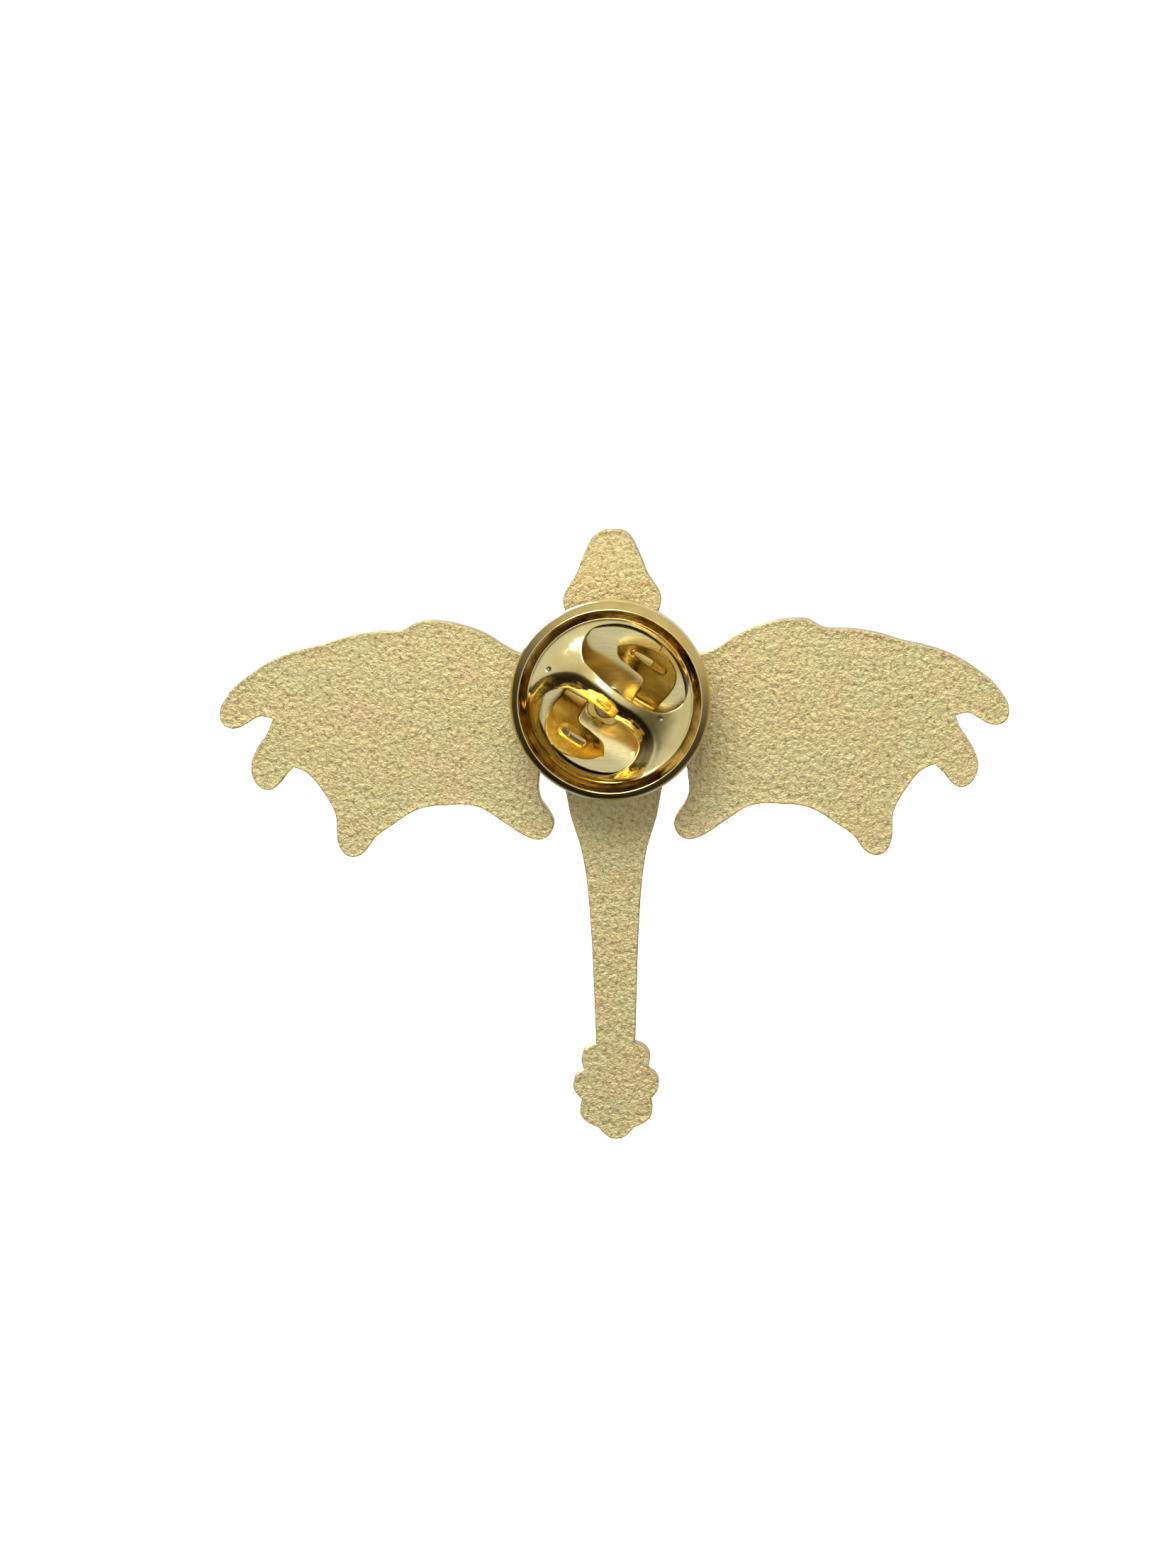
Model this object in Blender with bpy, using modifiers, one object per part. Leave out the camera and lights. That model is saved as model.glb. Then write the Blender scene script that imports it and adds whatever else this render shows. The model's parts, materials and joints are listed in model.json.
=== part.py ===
"""Dragon lapel pin: a die-struck brass plate with soft enamel on its front, and on its back a
soldered tack post held by a butterfly clutch.

Everything is drawn on a bench frame, which is the pin seen from behind: x to the right, y up,
z out of the back, with z = 0 on the plate's back face and the post on the z axis. One empty
turns the bench to the pin as it is worn: +Z towards the head, +Y out of the back.
"""
import math

import bmesh
import bpy
from mathutils import Matrix, Vector

MM = 0.001

# Plate
WING_SPAN = 44.5 * MM
PLATE_HEIGHT = 34.7 * MM
PLATE_THICKNESS = 1.5 * MM
RIM_WIDTH = 0.4 * MM
LINE_WIDTH = 0.28 * MM
POCKET_DEPTH = 0.5 * MM
ENAMEL_SINK = 0.1 * MM
EYE_RADIUS = 0.4 * MM
CLUB_CORE_RADIUS = 0.5 * MM
SPOKE_REACH = 2.9 * MM

# Post and its solder
POST_DIAMETER = 1.1 * MM
POST_LENGTH = 6.0 * MM
POST_POINT = 1.3 * MM
POST_TIP_DIAMETER = 0.25 * MM
POST_NECK_LENGTH = 0.35 * MM
POST_NECK_DEPTH = 0.06 * MM
POST_HEAD_DIAMETER = 2.4 * MM
POST_HEAD_THICKNESS = 0.3 * MM
SOLDER_WIDTH = 0.45 * MM

# Clutch
CLUTCH_DIAMETER = 11.0 * MM
SHEET = 0.3 * MM
CAP_RIM_HEIGHT = 3.3 * MM
CAP_FLOOR_HEIGHT = 2.6 * MM
BRIDGE_HEIGHT = 4.2 * MM
RIM_FOLD = 0.41 * MM
FLOOR_MARGIN = 0.8 * MM
FOOT_ROUND = 0.4 * MM
CRIMP_LIP = 0.55 * MM
TONGUE_WEB = 0.33 * MM
WING_HEIGHT = 5.0 * MM
WING_TRAVEL = 0.5 * MM
SPRING_WIRE = 0.44 * MM
SPRING_OPENING = math.radians(50)
BRIDGE_TURN = math.radians(-31.6)

# Clearances
SEAT_GAP = 0.02 * MM
JAW_GAP = 0.03 * MM
SLOT_CLEARANCE = 0.07 * MM
BORE_CLEARANCE = 0.12 * MM
TIP_CLEARANCE = 0.1 * MM
SPRING_CLEARANCE = 0.08 * MM
LEVEL_GAP = 0.1 * MM
RUNNING_GAP = 0.05 * MM

# Facets
OUTLINE_STEPS = 2
CLUTCH_STEPS = 40
POST_STEPS = 20
SOLDER_STEPS = 24
DOME_RINGS = 6

# Places that follow from the sizes
POST_RADIUS = POST_DIAMETER / 2
CLUTCH_RADIUS = CLUTCH_DIAMETER / 2
CAP_FLOOR_RADIUS = CLUTCH_RADIUS - FLOOR_MARGIN
BASE_RADIUS = CLUTCH_RADIUS - SHEET - FOOT_ROUND / 2 - RUNNING_GAP
SPRING_RADIUS = BASE_RADIUS - SHEET - SPRING_CLEARANCE - SPRING_WIRE / 2
CLUTCH_SEAT = POST_LENGTH + TIP_CLEARANCE - (BRIDGE_HEIGHT - SHEET)
BASE_LEVEL = SHEET + SEAT_GAP
TONGUE_LEVELS = (BASE_LEVEL + SHEET + LEVEL_GAP, BASE_LEVEL + 2 * (SHEET + LEVEL_GAP))
SLOT_HALF_WIDTH = POST_RADIUS + SLOT_CLEARANCE
TONGUE_HALF_WIDTH = SLOT_HALF_WIDTH + TONGUE_WEB

# The drawing: millimetres on a plate 44.5 wide and 34.7 high, brought to WING_SPAN and
# PLATE_HEIGHT by these two scales. The clutch has a drawing of its own, 11 across.
DRAWN_SPAN = 44.5
DRAWN_HEIGHT = 34.7
DRAWN_CLUTCH = 11.0
SCALE_X = WING_SPAN / DRAWN_SPAN
SCALE_Y = PLATE_HEIGHT / DRAWN_HEIGHT
SCALE_CLUTCH = CLUTCH_DIAMETER / DRAWN_CLUTCH

# Right half of the dragon from the top of the head to the end of the tail. True marks a corner.
HALF_OUTLINE = (
    (0.0, 9.2, False), (0.75, 9.1, False), (1.2, 8.6, False), (2.05, 6.65, False),
    (2.6, 5.8, False), (2.75, 5.2, False), (2.6, 4.6, True), (2.0, 4.0, False),
    (1.9, 3.4, False), (2.4, 2.75, False), (3.6, 2.35, False), (5.2, 2.25, False),
    (7.05, 3.3, False), (8.3, 3.8, False), (10.4, 4.15, False), (11.1, 4.05, False),
    (11.8, 3.65, False), (13.3, 3.55, False), (14.9, 3.3, False), (16.2, 2.9, False), (18.5, 2.3, False),
    (20.7, 1.05, False), (21.9, -0.15, False), (22.25, -1.1, False), (21.95, -1.75, False),
    (21.2, -1.85, False), (19.95, -1.2, False), (19.25, -1.35, True), (19.55, -2.1, False),
    (20.35, -3.4, False), (20.4, -4.75, False), (19.5, -5.4, False), (18.6, -4.6, False),
    (18.1, -4.1, True), (17.4, -4.4, False), (16.6, -5.3, False), (15.75, -6.9, False),
    (15.65, -8.4, False), (15.05, -9.2, False), (14.2, -9.0, False), (13.6, -8.2, False),
    (12.5, -7.4, False), (11.1, -6.55, False), (9.4, -6.3, False), (7.7, -6.4, False), (4.95, -8.1, False),
    (4.0, -8.25, False), (3.4, -7.4, False), (4.15, -6.0, False), (4.2, -4.7, False),
    (3.75, -3.7, False), (3.1, -4.1, False), (2.75, -5.3, False), (2.45, -6.9, False),
    (1.9, -8.7, False), (1.55, -10.8, False), (1.27, -15.5, False), (1.1, -20.0, True),
    (1.65, -20.25, False), (1.95, -20.8, False), (1.8, -21.5, True), (2.3, -21.9, False),
    (2.4, -22.6, False), (1.95, -23.2, True), (2.05, -24.0, False), (1.75, -24.45, False),
    (1.0, -24.85, True), (0.5, -25.35, False), (0.0, -25.5, False),
)

# Raised lines on one wing, and on the middle of the body
WING_LINES = {
    "flank": ((2.1, 3.4), (2.75, 1.4), (2.6, -1.5), (3.5, -4.0)),
    "arm": ((2.5, 0.6), (5.2, 0.55), (8.2, 1.9), (10.6, 2.35), (13.5, 1.95), (17.6, 0.9),
            (19.9, -0.4), (21.4, -2.2)),
    "wrist": ((10.6, 2.0), (10.1, 3.3), (10.3, 4.5)),
    "outer_finger": ((10.9, 2.3), (14.6, 0.3), (18.0, -2.3), (20.3, -5.6)),
    "middle_finger": ((10.7, 2.3), (12.7, -1.2), (14.2, -5.2), (15.1, -9.6)),
    "inner_finger": ((10.4, 2.3), (8.3, -1.0), (5.7, -5.2), (3.7, -8.6)),
    "elbow": ((5.2, 0.7), (4.9, -1.2), (4.7, -3.4), (4.1, -5.6)),
}
BODY_LINES = {
    "snout": (7.5, 2.2), "nape": (4.35, 3.2), "neck": (2.5, 3.2), "shoulder": (0.4, 3.2),
    "back": (-1.7, 3.2), "loin": (-3.8, 3.4), "rump": (-6.0, 3.2), "tail_1": (-8.4, 2.5),
    "tail_2": (-10.8, 2.2), "tail_3": (-13.2, 2.0), "tail_4": (-15.6, 1.8), "tail_5": (-18.0, 1.6),
}
CHEVRON_DROP = 0.55
CLUB_TOP = -20.2
CLUB_CENTRE = -22.75
CLUB_NOTCHES = ((1.8, -21.5), (1.95, -23.2), (1.0, -24.85))
EYE_PLACE = (1.05, 6.0)

# Each enamel cell by a point inside it, and the colour that fills it
WING_CELLS = {
    "arm": (6.5, 2.2, "bone"), "finger_tip": (16.8, 1.8, "bone"),
    "membrane_outer": (17.3, -0.6, "membrane"), "membrane_middle": (15.3, -2.6, "membrane"),
    "membrane_inner": (10.8, -3.5, "membrane"), "membrane_elbow": (6.0, -2.2, "membrane"),
    "membrane_flank": (3.5, -1.6, "membrane"),
}
BODY_CELLS = {
    "snout": (0.0, 8.2, "body"), "crown": (0.0, 5.5, "body"), "nape": (0.0, 3.4, "scale"),
    "shoulders": (0.0, 1.5, "body"), "back": (0.0, -0.6, "scale"), "loin": (0.0, -2.7, "body"),
    "hips": (0.0, -4.9, "scale"), "tail_1": (0.0, -7.2, "body"), "tail_2": (0.0, -9.6, "scale"),
    "tail_3": (0.0, -12.0, "body"), "tail_4": (0.0, -14.4, "scale"), "tail_5": (0.0, -16.8, "body"),
    "tail_6": (0.0, -19.1, "scale"), "club_core": (0.0, CLUB_CENTRE, "eye"),
    "club_top": (0.0, -21.1, "body"), "club_end": (0.0, -24.4, "body"),
}
PAIRED_CELLS = {
    "eye": (*EYE_PLACE, "eye"), "club_side": (1.5, -22.5, "body"), "club_heel": (1.2, -23.9, "body"),
}

# The clutch drawing: u along the bridge and v across it, out towards the wing. The S is pressed a
# little towards wing A, so its opening is the smaller one. Wing B's side is drawn half a turn round.
OPENING_A = (
    (-2.9, 1.85), (-2.45, 1.25), (-1.55, 1.0), (0.1, 0.75), (1.7, 0.7), (2.85, 1.0), (3.45, 1.8),
    (3.25, 2.9), (2.2, 3.75), (0.65, 4.2), (-0.85, 4.2), (-2.1, 3.7), (-2.95, 2.75),
)
OPENING_B = (
    (-3.05, 1.85), (-2.75, 0.95), (-2.05, 0.5), (-0.35, 0.27), (1.3, 0.12), (2.35, 0.2),
    (3.1, 0.75), (3.5, 1.6), (3.3, 2.6), (2.5, 3.7), (0.9, 4.35), (-0.7, 4.4), (-2.0, 4.0), (-2.9, 2.9),
)
BLADE = (
    (2.6, 2.0), (2.55, 2.8), (2.25, 3.35), (1.8, 3.7), (1.05, 3.95), (0.15, 3.8), (-0.75, 3.4),
    (-1.25, 2.9), (-0.95, 2.4), (0.0, 2.15), (1.0, 1.85),
)
BLADE_FOOT = 0.95
BLADE_REACH_A = 3.95
BLADE_REACH_B = 3.45
WING_SIDE = 2.45
LUG_REACH = 0.3

FINISHES = {
    "sandblasted gold plate": ((0.66, 0.56, 0.31), 0.5, 1.0),
    "bright gold plate": ((0.78, 0.57, 0.20), 0.15, 1.0),
    "nickel steel": ((0.60, 0.58, 0.53), 0.25, 1.0),
    "tin solder": ((0.62, 0.62, 0.60), 0.35, 1.0),
    "spring steel": ((0.42, 0.41, 0.40), 0.3, 1.0),
    "bone enamel": ((0.30, 0.02, 0.03), 0.2, 0.0),
    "membrane enamel": ((0.52, 0.03, 0.03), 0.2, 0.0),
    "body enamel": ((0.05, 0.06, 0.09), 0.2, 0.0),
    "scale enamel": ((0.11, 0.13, 0.18), 0.2, 0.0),
    "eye enamel": ((0.75, 0.42, 0.04), 0.2, 0.0),
}


def clear_scene():
    for thing in list(bpy.data.objects):
        bpy.data.objects.remove(thing)


def make_collection(name):
    collection = bpy.data.collections.new(name)
    bpy.context.scene.collection.children.link(collection)
    return collection


def make_empty(name, parent=None):
    empty = bpy.data.objects.new(name, None)
    PARTS.objects.link(empty)
    empty.parent = parent
    return empty


def finish_material(name):
    if name in bpy.data.materials:
        return bpy.data.materials[name]
    colour, roughness, metallic = FINISHES[name]
    material = bpy.data.materials.new(name)
    material.use_nodes = True
    shader = material.node_tree.nodes["Principled BSDF"]
    shader.inputs["Base Color"].default_value = (*colour, 1.0)
    shader.inputs["Roughness"].default_value = roughness
    shader.inputs["Metallic"].default_value = metallic
    return material


def add_part(name, mesh, finish, parent):
    part = bpy.data.objects.new(name, mesh)
    PARTS.objects.link(part)
    part.parent = parent
    mesh.materials.clear()
    mesh.materials.append(finish_material(finish))
    mesh.shade_smooth()
    mesh.set_sharp_from_angle(angle=math.radians(35))
    return part


def add_cutter(name, mesh, parent=None):
    cutter = bpy.data.objects.new(name, mesh)
    CUTTERS.objects.link(cutter)
    cutter.parent = parent
    cutter.hide_render = True
    cutter.display_type = "WIRE"
    return cutter


def evaluated_mesh(thing):
    """The object's mesh with its modifiers, its loose caps welded, and the object removed."""
    graph = bpy.context.evaluated_depsgraph_get()
    mesh = bpy.data.meshes.new_from_object(thing.evaluated_get(graph))
    bpy.data.objects.remove(thing)
    shape = bmesh.new()
    shape.from_mesh(mesh)
    bmesh.ops.remove_doubles(shape, verts=shape.verts, dist=0.0005 * MM)
    shape.to_mesh(mesh)
    shape.free()
    return mesh


def slab(loops, low, high, offset=0.0):
    """A flat plate between two heights, from closed outlines of (x, y, corner) points."""
    curve = bpy.data.curves.new("outline", "CURVE")
    curve.dimensions = "2D"
    curve.fill_mode = "BOTH"
    curve.extrude = (high - low) / 2
    curve.offset = offset
    curve.resolution_u = OUTLINE_STEPS
    for loop in loops:
        spline = curve.splines.new("BEZIER")
        spline.bezier_points.add(len(loop) - 1)
        spline.resolution_u = OUTLINE_STEPS
        spline.use_cyclic_u = True
        for knot, (x, y, corner) in zip(spline.bezier_points, loop):
            knot.co = (x, y, 0.0)
            knot.handle_left_type = "VECTOR" if corner else "AUTO"
            knot.handle_right_type = knot.handle_left_type
    thing = bpy.data.objects.new("outline", curve)
    CUTTERS.objects.link(thing)
    mesh = evaluated_mesh(thing)
    for vertex in mesh.vertices:
        vertex.co.z += (low + high) / 2
    return mesh


def rib(points, width, low, high, closed=False):
    """A wall of even width that stands on a smooth line through the points."""
    curve = bpy.data.curves.new("rib", "CURVE")
    curve.dimensions = "2D"
    curve.fill_mode = "NONE"
    curve.extrude = (high - low) / 2
    spline = curve.splines.new("BEZIER")
    spline.bezier_points.add(len(points) - 1)
    spline.resolution_u = OUTLINE_STEPS + 1
    spline.use_cyclic_u = closed
    for knot, (x, y) in zip(spline.bezier_points, points):
        knot.co = (x, y, 0.0)
        knot.handle_left_type = "AUTO"
        knot.handle_right_type = "AUTO"
    thing = bpy.data.objects.new("rib", curve)
    CUTTERS.objects.link(thing)
    wall = thing.modifiers.new("width", "SOLIDIFY")
    wall.thickness = width
    wall.offset = 0.0
    wall.use_even_offset = True
    mesh = evaluated_mesh(thing)
    for vertex in mesh.vertices:
        vertex.co.z += (low + high) / 2
    return mesh


def turned(profile, steps):
    """A solid of revolution about z from a closed profile of (radius, height) points."""
    mesh = bpy.data.meshes.new("profile")
    count = len(profile)
    edges = [(i, i + 1) for i in range(count - 1)]
    if profile[0][0] > 0.0 or profile[-1][0] > 0.0:
        edges.append((count - 1, 0))
    mesh.from_pydata([(r, 0.0, z) for r, z in profile], edges, [])
    thing = bpy.data.objects.new("profile", mesh)
    CUTTERS.objects.link(thing)
    screw = thing.modifiers.new("turn", "SCREW")
    screw.steps = steps
    screw.render_steps = steps
    screw.use_merge_vertices = True
    screw.merge_threshold = 0.000001
    return evaluated_mesh(thing)


def cut(mesh, tool, operation="DIFFERENCE"):
    """The mesh with another one cut out of it, kept common with it, or joined to it."""
    body = bpy.data.objects.new("body", mesh)
    CUTTERS.objects.link(body)
    cutter = add_cutter("tool", tool)
    step = body.modifiers.new("cut", "BOOLEAN")
    step.operation = operation
    step.object = cutter
    result = evaluated_mesh(body)
    bpy.data.objects.remove(cutter)
    return result


def drawn(x, y):
    return x * SCALE_X, y * SCALE_Y


def arc(radius, start, end, count, centre=(0.0, 0.0)):
    """Points of an arc from one angle to the other, both ends included."""
    turns = (start + (end - start) * i / (count - 1) for i in range(count))
    return [(centre[0] + radius * math.cos(t), centre[1] + radius * math.sin(t)) for t in turns]


def dragon_outline():
    right = [(*drawn(x, y), corner) for x, y, corner in HALF_OUTLINE]
    left = [(-x, y, corner) for x, y, corner in reversed(right[1:-1])]
    return right + left


def raised_lines(width, low, high):
    """Walls for every raised line of the front, both wings and the body."""
    walls = []
    core = Vector(drawn(0.0, CLUB_CENTRE))
    for side in (1, -1):
        for points in WING_LINES.values():
            walls.append(rib([drawn(side * x, y) for x, y in points], width, low, high))
        for x, y in CLUB_NOTCHES:
            out = (Vector(drawn(side * x, y)) - core).normalized()
            spoke = (core + out * CLUB_CORE_RADIUS, core + out * SPOKE_REACH)
            walls.append(rib(spoke, width, low, high))
        eye = drawn(side * EYE_PLACE[0], EYE_PLACE[1])
        ring = arc(EYE_RADIUS + LINE_WIDTH / 2, 0.0, math.tau * 7 / 8, 8, eye)
        walls.append(rib(ring, width, low, high, closed=True))
    for height, half in BODY_LINES.values():
        ends = height + CHEVRON_DROP
        chevron = (drawn(-half, ends), drawn(0.0, height), drawn(half, ends))
        walls.append(rib(chevron, width, low, high))
    walls.append(rib((drawn(-2.0, CLUB_TOP), drawn(2.0, CLUB_TOP)), width, low, high))
    ring = arc(CLUB_CORE_RADIUS + LINE_WIDTH / 2, 0.0, math.tau * 9 / 10, 10, core)
    walls.append(rib(ring, width, low, high, closed=True))
    return walls


def cell_block(low, high, rim, line):
    """All the front's cells as one mesh: the outline less its rim, cut through by the lines."""
    block = slab([dragon_outline()], low, high, -rim)
    for wall in raised_lines(line, low - PLATE_THICKNESS, high + PLATE_THICKNESS):
        block = cut(block, wall)
    return block


def make_plate():
    front = -PLATE_THICKNESS
    plate = slab([dragon_outline()], front, 0.0)
    pockets = cell_block(front - POCKET_DEPTH, front + POCKET_DEPTH, RIM_WIDTH, LINE_WIDTH)
    add_part("dragon_plate", cut(plate, pockets), "sandblasted gold plate", BENCH)


def cell_seeds():
    """The name, place and enamel of every cell."""
    seeds = [(name, x, y, enamel) for name, (x, y, enamel) in BODY_CELLS.items()]
    for side, hand in ((1, "right"), (-1, "left")):
        for name, (x, y, enamel) in PAIRED_CELLS.items():
            seeds.append((f"{name}_{hand}", side * x, y, enamel))
        for name, (x, y, enamel) in WING_CELLS.items():
            seeds.append((f"{name}_{hand}", side * x, y, enamel))
    return seeds


def make_enamel():
    """One hardened fill in each cell, a little lower than the lines around it."""
    floor = -PLATE_THICKNESS + POCKET_DEPTH - SEAT_GAP
    surface = -PLATE_THICKNESS + ENAMEL_SINK
    block = cell_block(surface, floor, RIM_WIDTH + SEAT_GAP, LINE_WIDTH + 2 * SEAT_GAP)
    whole = bpy.data.objects.new("fills", block)
    CUTTERS.objects.link(whole)
    bpy.context.view_layer.objects.active = whole
    whole.select_set(True)
    bpy.ops.mesh.separate(type="LOOSE")
    fills = list(bpy.context.selected_objects)
    for name, x, y, enamel in cell_seeds():
        over = Vector((*drawn(x, y), PLATE_THICKNESS))
        for fill in fills:
            if fill.ray_cast(over, Vector((0.0, 0.0, -1.0)))[0]:
                add_part(f"enamel_{name}", fill.data, f"{enamel} enamel", BENCH)
    for fill in fills:
        bpy.data.objects.remove(fill)


def make_post():
    """A nail-shaped tack post: flat head against the plate, straight shank, turned point."""
    head = POST_HEAD_DIAMETER / 2
    shoulder = POST_LENGTH - POST_POINT
    neck = shoulder - POST_NECK_LENGTH
    profile = [
        (0.0, POST_LENGTH), (POST_TIP_DIAMETER / 2, POST_LENGTH - POST_TIP_DIAMETER / 2),
        (POST_RADIUS, shoulder), (POST_RADIUS - POST_NECK_DEPTH, shoulder - POST_NECK_DEPTH),
        (POST_RADIUS - POST_NECK_DEPTH, neck + POST_NECK_DEPTH), (POST_RADIUS, neck),
        (POST_RADIUS, POST_HEAD_THICKNESS), (head, POST_HEAD_THICKNESS), (head, SEAT_GAP), (0.0, SEAT_GAP),
    ]
    add_part("tack_post", turned(profile, POST_STEPS), "nickel steel", BENCH)


def make_solder():
    """The ring of solder that joins the post's head to the plate."""
    inner = POST_HEAD_DIAMETER / 2 + SEAT_GAP
    outer = inner + SOLDER_WIDTH
    profile = [
        (inner, POST_HEAD_THICKNESS), (inner + SOLDER_WIDTH * 0.35, POST_HEAD_THICKNESS * 0.45),
        (outer, 3 * SEAT_GAP), (outer, SEAT_GAP), (inner, SEAT_GAP),
    ]
    add_part("solder_ring", turned(profile, SOLDER_STEPS), "tin solder", BENCH)


def dome_height(radius):
    """Height of the cap's outside: flat at its floor, rising to the bridge over the post."""
    rise = BRIDGE_HEIGHT - CAP_FLOOR_HEIGHT
    return CAP_FLOOR_HEIGHT + rise * math.cos(math.pi / 2 * radius / CAP_FLOOR_RADIUS) ** 2


def clutch_drawn(points, turn=1):
    return [(turn * u * SCALE_CLUTCH, turn * v * SCALE_CLUTCH) for u, v in points]


def marked(points, corner=False):
    return [(x, y, corner) for x, y in points]


def make_cap():
    """The pressed cap: dome, folded rim, side wall, and the lip crimped under the base."""
    crest = CLUTCH_RADIUS - RIM_FOLD
    roll = 0.6 * RIM_FOLD
    foot = CLUTCH_RADIUS - FOOT_ROUND
    lip = foot - CRIMP_LIP
    inside = CLUTCH_RADIUS - SHEET
    dome = [CAP_FLOOR_RADIUS * i / DOME_RINGS for i in range(DOME_RINGS)]
    profile = [(r, dome_height(r)) for r in dome] + [
        (CAP_FLOOR_RADIUS, CAP_FLOOR_HEIGHT), (crest - roll, CAP_RIM_HEIGHT - roll),
        (crest, CAP_RIM_HEIGHT), (crest + roll, CAP_RIM_HEIGHT - roll / 2),
        (CLUTCH_RADIUS, CAP_RIM_HEIGHT - 2 * RIM_FOLD), (CLUTCH_RADIUS, 2 * FOOT_ROUND),
        (CLUTCH_RADIUS - 0.3 * FOOT_ROUND, 0.6 * FOOT_ROUND), (foot, 0.0), (lip, 0.0), (lip, SHEET),
        (BASE_RADIUS + RUNNING_GAP, SHEET), (inside, 2 * FOOT_ROUND),
        (inside, CAP_RIM_HEIGHT - 2.5 * RIM_FOLD), (CAP_FLOOR_RADIUS, CAP_FLOOR_HEIGHT - SHEET),
    ] + [(r, dome_height(r) - SHEET) for r in reversed(dome)]
    cap = turned(profile, CLUTCH_STEPS)
    for opening in (clutch_drawn(OPENING_A), clutch_drawn(OPENING_B, -1)):
        hole = slab([marked(opening)], CAP_FLOOR_HEIGHT - 2 * SHEET, BRIDGE_HEIGHT + SHEET)
        cap = cut(cap, hole)
    add_part("clutch_cap", cap, "bright gold plate", CAP_FRAME)


def make_base():
    """The dished base disc that the cloth meets, with the hole that the post enters by."""
    bore = POST_RADIUS + BORE_CLEARANCE
    top = BASE_LEVEL + SHEET
    brim = top + SHEET
    profile = [
        (bore, top), (BASE_RADIUS - 1.5 * SHEET, top), (BASE_RADIUS - SHEET, brim), (BASE_RADIUS, brim),
        (BASE_RADIUS, BASE_LEVEL), (bore, BASE_LEVEL),
    ]
    add_part("clutch_base", turned(profile, CLUTCH_STEPS), "bright gold plate", CLUTCH_FRAME)


def tongue_outline():
    """The flat part of a wing: a slotted tongue that widens to a leaf within the spring, and a lug."""
    reach = SPRING_RADIUS - SPRING_WIRE / 2 - SEAT_GAP
    low = -LUG_REACH * SCALE_CLUTCH
    end = arc(reach, -math.pi / 2 - math.asin(TONGUE_HALF_WIDTH / reach), math.asin(low / reach), 16)
    side = WING_SIDE * SCALE_CLUTCH
    foot = BLADE_FOOT * SCALE_CLUTCH
    shoulder = POST_RADIUS + WING_TRAVEL + JAW_GAP + TONGUE_WEB
    neck = TONGUE_HALF_WIDTH + LEVEL_GAP
    return end + [
        (side, low), (side, foot), (neck, foot), (neck, foot - LEVEL_GAP),
        (TONGUE_HALF_WIDTH, foot - LEVEL_GAP), (TONGUE_HALF_WIDTH, shoulder), (-TONGUE_HALF_WIDTH, shoulder),
    ]


def slot_outline():
    """The slot's far end bears on the post, and its near end leaves room for the squeeze."""
    radius = SLOT_HALF_WIDTH
    far = -(POST_RADIUS + JAW_GAP) + radius
    near = POST_RADIUS + WING_TRAVEL + JAW_GAP - radius
    return arc(radius, math.pi, math.tau, 9, (0.0, far)) + arc(radius, 0.0, math.pi, 9, (0.0, near))


def make_wing(name, level, reach, frame):
    """A squeeze wing: its flat tongue, and the blade that leans out of the cap's opening."""
    foot = BLADE_FOOT * SCALE_CLUTCH
    lean = (reach - BLADE_FOOT) * SCALE_CLUTCH
    middle = level + SHEET / 2
    rise = WING_HEIGHT - middle
    bend = (
        (foot - lean / 3, middle), (foot - lean / 8, middle), (foot + lean / 12, middle + rise / 24),
        (foot + lean / 4, middle + rise / 5), (foot + lean, WING_HEIGHT),
    )
    side = WING_SIDE * SCALE_CLUTCH
    sheet = rib(bend, SHEET, -2 * side, 2 * side)
    sheet.transform(Matrix(((0, 0, 1, 0), (1, 0, 0, 0), (0, 1, 0, 0), (0, 0, 0, 1))))
    neck = TONGUE_HALF_WIDTH + LEVEL_GAP
    start = foot - lean / 4
    stretch = (reach - BLADE_FOOT) / (BLADE_REACH_A - BLADE_FOOT)
    edge = [(u, BLADE_FOOT + (v - BLADE_FOOT) * stretch) for u, v in BLADE]
    plan = marked([(neck, start), (side, start), (side, foot)], True) + marked(clutch_drawn(edge))
    plan += marked([(neck, foot)], True)
    blade = cut(sheet, slab([plan], level - SHEET, WING_HEIGHT + SHEET), "INTERSECT")
    whole = cut(slab([marked(tongue_outline(), True)], level, level + SHEET), blade, "UNION")
    slot = slab([marked(slot_outline(), True)], level - SHEET, level + 2 * SHEET)
    add_part(name, cut(whole, slot), "bright gold plate", frame)


def make_spring():
    """An open ring of round wire, just within the base's brim, that closes the tongues on the post."""
    curve = bpy.data.curves.new("clutch_spring", "CURVE")
    curve.dimensions = "3D"
    curve.bevel_depth = SPRING_WIRE / 2
    curve.bevel_resolution = 2
    curve.use_fill_caps = True
    spline = curve.splines.new("POLY")
    route = arc(SPRING_RADIUS, math.pi + SPRING_OPENING / 2, 3 * math.pi - SPRING_OPENING / 2, CLUTCH_STEPS)
    spline.points.add(len(route) - 1)
    level = (TONGUE_LEVELS[0] + TONGUE_LEVELS[1] + SHEET) / 2
    for knot, (x, y) in zip(spline.points, route):
        knot.co = (x, y, level, 1.0)
    thing = bpy.data.objects.new("clutch_spring", curve)
    CUTTERS.objects.link(thing)
    add_part("clutch_spring", evaluated_mesh(thing), "spring steel", CAP_FRAME)


clear_scene()
PARTS = make_collection("dragon_pin")
CUTTERS = make_collection("cutters")

BENCH = make_empty("bench")
BENCH.rotation_euler = (math.pi / 2, 0.0, math.pi)
CLUTCH_FRAME = make_empty("clutch_slide_frame", BENCH)
CLUTCH_FRAME.location = (0.0, 0.0, CLUTCH_SEAT)
CAP_FRAME = make_empty("clutch_spin_frame", CLUTCH_FRAME)
CAP_FRAME.rotation_euler = (0.0, 0.0, BRIDGE_TURN)
WING_A_FRAME = make_empty("wing_a_frame", CAP_FRAME)
WING_B_FRAME = make_empty("wing_b_frame", CAP_FRAME)
WING_B_FRAME.rotation_euler = (0.0, 0.0, math.pi)

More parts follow.
